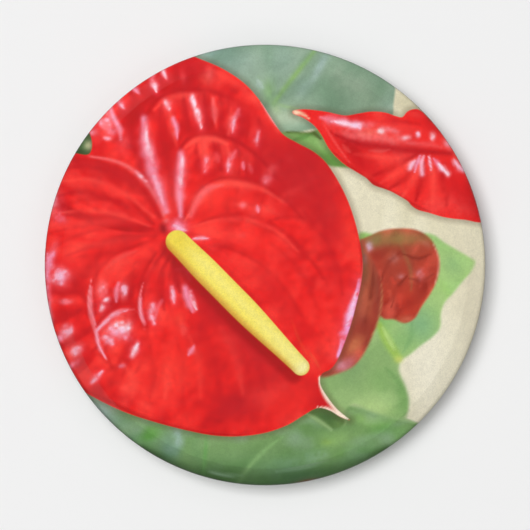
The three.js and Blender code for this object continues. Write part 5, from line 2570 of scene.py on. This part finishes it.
@dataclass
class BackPlate:
    """The stamped plate behind, with its bead and raised platform."""

    sizes: ButtonSizes
    palette: Palette
    segments: int = 256
    bead_steps: int = 18
    ramp_steps: int = 8
    edge_steps: int = 4
    name: str = "stamped_plate"

    def profile(self) -> Array:
        """Draw the plate's section.

        Returns:
            (radius, depth) points, from the face's side round to the back.
        """
        z = self.sizes
        foot = z.magnet_radius + z.platform_margin
        bead_end = z.plate_radius - z.plate_flat
        bead_start = bead_end - z.bead_width
        rows = [(0.0, z.platform_back)]
        for i in range(self.ramp_steps + 1):
            t = i / self.ramp_steps
            lift = 0.5 - 0.5 * cos(pi * t)
            rows.append((foot - z.platform_ramp * (1 - t), z.platform_back + z.platform_rise * lift))
        for i in range(self.bead_steps + 1):
            t = i / self.bead_steps
            lift = 0.5 - 0.5 * cos(2 * pi * t)
            rows.append((bead_start + z.bead_width * t, z.flange_back - z.bead_height * lift))
        round_over = z.plate / 2
        rows.append((z.plate_radius - round_over, z.flange_back))
        back = np.array(rows)
        front = offset(back, -z.plate)
        middle = (z.plate_radius - round_over, z.flange_back + round_over)
        edge = arc(middle, round_over, HALF_PI, -HALF_PI, self.edge_steps * 2)[1:-1]
        return np.vstack([front, edge, back[::-1]])

    def build(self) -> bpy.types.Object:
        """Build and register the piece.

        Returns:
            The finished piece.
        """
        piece = turned(self.profile(), self.segments).object(self.name)
        piece.data.materials.append(self.palette.get(Finish.TIN))
        shaded(piece, radians(50.0))
        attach(piece, "root")
        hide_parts("back_plate")
        return piece


@dataclass
class MagnetDisc:
    """The ferrite magnet, with a slightly chipped chamfer."""

    sizes: ButtonSizes
    palette: Palette
    segments: int = 320
    chamfer_steps: int = 4
    chip: float = 0.05 * MM
    least_bite: float = 0.25
    bites: Layers = ((9.0, 41, 1.0), (31.0, 42, 0.6))
    face_rings: tuple[float, ...] = (0.0, 0.4, 0.8, 0.94)
    name: str = "ferrite_disc"

    def build(self) -> bpy.types.Object:
        """Build, chip and register the piece.

        Returns:
            The finished piece.
        """
        z = self.sizes
        r = z.magnet_radius
        c = z.magnet_chamfer
        t = z.magnet_thick
        share = np.linspace(0.0, 1.0, self.chamfer_steps + 1)[:, None]
        front = np.array([[r - c, t]]) + np.array([[c, -c]]) * share
        back = np.array([[r, c]]) + np.array([[-c, -c]]) * share
        faces = np.array(self.face_rings)[:, None] * np.array([[r, 0.0]])
        profile = np.vstack([faces + [0.0, t], front, back, faces[::-1]])
        shell = turned(profile, self.segments)
        co = shell.corners
        radius = np.hypot(co[:, 0], co[:, 2])
        depth = -co[:, 1]
        from_corner = np.minimum(depth, t - depth) + (r - radius)
        worn = np.exp(-((np.abs(from_corner - c) / (0.6 * c)) ** 2)) * (radius > r - 1.6 * c)
        turn = np.arctan2(co[:, 2], co[:, 0])
        bite = texture(turn, depth / z.radius, self.bites)
        bite = np.clip(bite - self.least_bite, 0.0, 1.0) * worn
        scale = 1.0 - self.chip * bite / np.maximum(radius, TINY)
        co[:, 0] *= scale
        co[:, 2] *= scale
        piece = shell.object(self.name)
        layer = piece.data.attributes.new("edge", "FLOAT", "POINT")
        layer.data.foreach_set("value", worn.astype(np.float32))
        piece.data.materials.append(self.palette.get(Finish.FERRITE))
        shaded(piece, radians(30.0))
        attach(piece, "root")
        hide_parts("magnet_disc")
        return piece


@dataclass
class AdhesivePad:
    """The foam tape between plate and magnet, squeezed a little at its edge."""

    sizes: ButtonSizes
    palette: Palette
    segments: int = 192
    side_steps: int = 6
    squeeze: float = 0.07 * MM
    name: str = "foam_pad"

    def build(self) -> bpy.types.Object:
        """Build and register the piece.

        Returns:
            The finished piece.
        """
        z = self.sizes
        r = z.magnet_radius - z.pad_inset
        share = np.linspace(0.0, 1.0, self.side_steps + 1)
        bulge = np.sin(share * pi) * self.squeeze - self.squeeze
        side = np.column_stack([r + bulge, z.pad_back + z.pad_thick * (1 - share)])
        faces = np.array([[0.0, 0.0], [0.5 * r, 0.0], [0.9 * r, 0.0]])
        front = faces + [0.0, z.pad_back + z.pad_thick]
        back = (faces + [0.0, z.pad_back])[::-1]
        piece = turned(np.vstack([front, side, back]), self.segments).object(self.name)
        piece.data.materials.append(self.palette.get(Finish.FOAM))
        shaded(piece, radians(40.0))
        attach(piece, "root")
        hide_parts("adhesive_pad")
        return piece


@dataclass
class FrontShell:
    """The tinplate cup inside, which keeps its frame shape and gets its finish."""

    node: bpy.types.Object
    palette: Palette

    def dress(self) -> bpy.types.Object:
        """Give the cup its finish.

        Returns:
            The dressed object.
        """
        tin = self.palette.get(Finish.TIN)
        if self.node.material_slots:
            for place in self.node.material_slots:
                place.material = tin
        else:
            self.node.data.materials.append(tin)
        return self.node


# ---------------------------------------------------------------------------
# The stage: a pale steel door, soft lights and the camera
# ---------------------------------------------------------------------------


class Lit(Enum):
    """What a light falls on."""

    ALL = "all"
    BUTTON = "button"
    DOOR = "door"
    BACK = "back"


@dataclass(frozen=True)
class SoftLight:
    """One square area light, placed by angles from the middle of the button."""

    name: str
    tilt: float
    turn: float
    level: float
    size: float = 0.4
    distance: float = 1.6
    lit: Lit = Lit.ALL
    mirrored: bool = False
    shadows: bool = True

    def add(self, target: Vector, groups: dict[Lit, bpy.types.Collection]) -> bpy.types.Object:
        """Add the light to the scene.

        Args:
            target: The point that it faces.
            groups: The collections that lights may be kept to.

        Returns:
            The light's object.
        """
        tilt = radians(self.tilt)
        turn = radians(self.turn)
        way = Vector((sin(tilt) * cos(turn), -cos(tilt), sin(tilt) * sin(turn)))
        data = bpy.data.lights.new(self.name, "AREA")
        data.shape = "SQUARE"
        data.size = self.size
        data.energy = self.level * pi**2 * self.distance**2 / abs(cos(tilt))
        data.use_shadow = self.shadows
        lamp = bpy.data.objects.new(self.name, data)
        lamp.location = target + way * self.distance
        lamp.rotation_euler = way.to_track_quat("Z", "Y").to_euler()
        lamp.visible_camera = False
        lamp.visible_glossy = self.mirrored
        if self.lit in groups:
            lamp.light_linking.receiver_collection = groups[self.lit]
        bpy.context.scene.collection.objects.link(lamp)
        return lamp


@dataclass
class Studio:
    """The door behind the magnet, the lights, the world and the camera."""

    middle: Vector
    door_half: float = 0.7
    door_tone: str = "F0F0F0"
    door_roughness: Point = (0.55, 0.65)
    door_cloud_scale: float = 6.0
    door_gap: float = 0.02 * MM
    world_light: float = 0.2
    world_seen: float = 0.87
    camera_distance: float = 0.6
    frame_width: float = 68.55 * MM
    sensor: float = 36.0
    nearest_seen: float = 0.01
    lights: tuple[SoftLight, ...] = (
        SoftLight("Key", 13.0, 147.0, 0.33, size=0.6),
        SoftLight("Door_key", 13.0, 147.0, 0.38, size=0.75, lit=Lit.DOOR),
        SoftLight("Door_fill", 0.0, 0.0, 0.295, size=2.4, lit=Lit.DOOR, shadows=False),
        SoftLight("Top", 42.0, 105.0, 0.52, size=0.6, lit=Lit.BUTTON),
        SoftLight("Edge_fill", 85.0, -35.0, 0.026, size=0.8, lit=Lit.BUTTON),
        SoftLight("Glint_low", 50.0, 213.0, 0.012, size=0.5, lit=Lit.BUTTON, mirrored=True),
        SoftLight("Glint_high", 50.0, 130.0, 0.01, size=0.5, lit=Lit.BUTTON, mirrored=True),
        SoftLight("Behind", 180.0, 0.0, 0.3, size=0.8, distance=0.9, lit=Lit.BUTTON),
        SoftLight("Behind_side", 135.0, 15.0, 0.45, size=1.2, lit=Lit.BACK, mirrored=True),
    )
    groups: dict[Lit, bpy.types.Collection] = field(default_factory=dict)

    def door(self) -> bpy.types.Object:
        """Add the pale door, which is clear from behind.

        Returns:
            The door's object.
        """
        h = self.door_half
        corners = np.array([[-h, 0.0, -h], [h, 0.0, -h], [h, 0.0, h], [-h, 0.0, h]])
        door = Shell(corners, [(0, 1, 2, 3)]).object("Pale_door")
        door.location.y = self.door_gap
        material, build, shader = Look("Pale_door_paint", colour=self.door_tone, roughness=0.6).start()
        tone = build.noise(build.object_place(), self.door_cloud_scale)
        build.feed(shader.inputs["Roughness"], build.ramp(tone, 0.0, 1.0, self.door_roughness))
        clear = build.add("ShaderNodeBsdfTransparent")
        back = build.add("ShaderNodeNewGeometry").outputs["Backfacing"]
        mix = build.add("ShaderNodeMixShader", in_0=back, in_1=shader.outputs[0], in_2=clear.outputs[0])
        end = next(node for node in build.nodes if node.type == "OUTPUT_MATERIAL")
        build.feed(end.inputs["Surface"], mix.outputs[0])
        door.data.materials.append(material)
        door.visible_shadow = False
        door.visible_glossy = False
        door.visible_diffuse = False
        return door

    def world(self) -> None:
        """Light the scene softly, with a pale colour where the camera sees past it."""
        world = bpy.data.worlds.new("Soft_world")
        bpy.context.scene.world = world
        world.use_nodes = True
        world.node_tree.nodes.clear()
        build = Tree.of(world.node_tree)
        seen = build.add("ShaderNodeLightPath").outputs["Is Camera Ray"]
        level = build.ramp(seen, 0.0, 1.0, (self.world_light, self.world_seen))
        sky = build.add("ShaderNodeBackground", in_Color=(1.0, 1.0, 1.0, 1.0), in_Strength=level)
        build.add("ShaderNodeOutputWorld", in_Surface=sky.outputs[0])

    def camera(self) -> bpy.types.Object:
        """Add the camera square on to the face.

        Returns:
            The camera's object.
        """
        data = bpy.data.cameras.new("Camera")
        data.sensor_width = self.sensor
        data.lens = self.sensor * self.camera_distance / self.frame_width
        data.clip_start = self.nearest_seen
        camera = bpy.data.objects.new("Camera", data)
        camera.location = (0.0, self.middle.y - self.camera_distance, 0.0)
        camera.rotation_euler = (HALF_PI, 0.0, 0.0)
        bpy.context.scene.collection.objects.link(camera)
        bpy.context.scene.camera = camera
        return camera

    def group(self, lit: Lit, members: list[bpy.types.Object]) -> None:
        """Gather what some of the lights are kept to.

        Args:
            lit: Which of the lights' targets this is.
            members: The objects in it.
        """
        made = bpy.data.collections.new(f"Lit_{lit.value}")
        for member in members:
            made.objects.link(member)
        self.groups[lit] = made

    def build(self, skins: list[bpy.types.Object], back: list[bpy.types.Object]) -> None:
        """Set up the whole stage.

        Args:
            skins: The pieces that the face shows.
            back: The pieces behind.
        """
        self.group(Lit.DOOR, [self.door()])
        self.group(Lit.BUTTON, [*skins, *back])
        self.group(Lit.BACK, back)
        self.world()
        self.camera()
        for light in self.lights:
            light.add(self.middle, self.groups)
        view = bpy.context.scene.view_settings
        view.view_transform = "Standard"
        view.look = "None"


def main() -> None:
    """Load the frame, build every piece and note the sizes."""
    logging.basicConfig(level=logging.INFO, format="%(name)s: %(message)s")
    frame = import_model()
    sizes = ButtonSizes()
    palette = Palette()
    skins = [PrintedDisc(sizes, palette).build(), ClearFilm(sizes, palette).build()]
    back = [
        BackPlate(sizes, palette).build(),
        AdhesivePad(sizes, palette).build(),
        MagnetDisc(sizes, palette).build(),
    ]
    for piece in (*skins, *back):
        LOG.info("%s: %d corners, %d faces", piece.name, len(piece.data.vertices), len(piece.data.polygons))
    shell = FrontShell(frame["nodes"]["front_shell"], palette).dress()
    LOG.info("%s: frame shape kept, tinplate finish", shell.name)
    Studio(middle=Vector((0.0, -5.0 * MM, 0.0))).build(skins, [*back, shell])


if __name__ == "__main__":
    main()
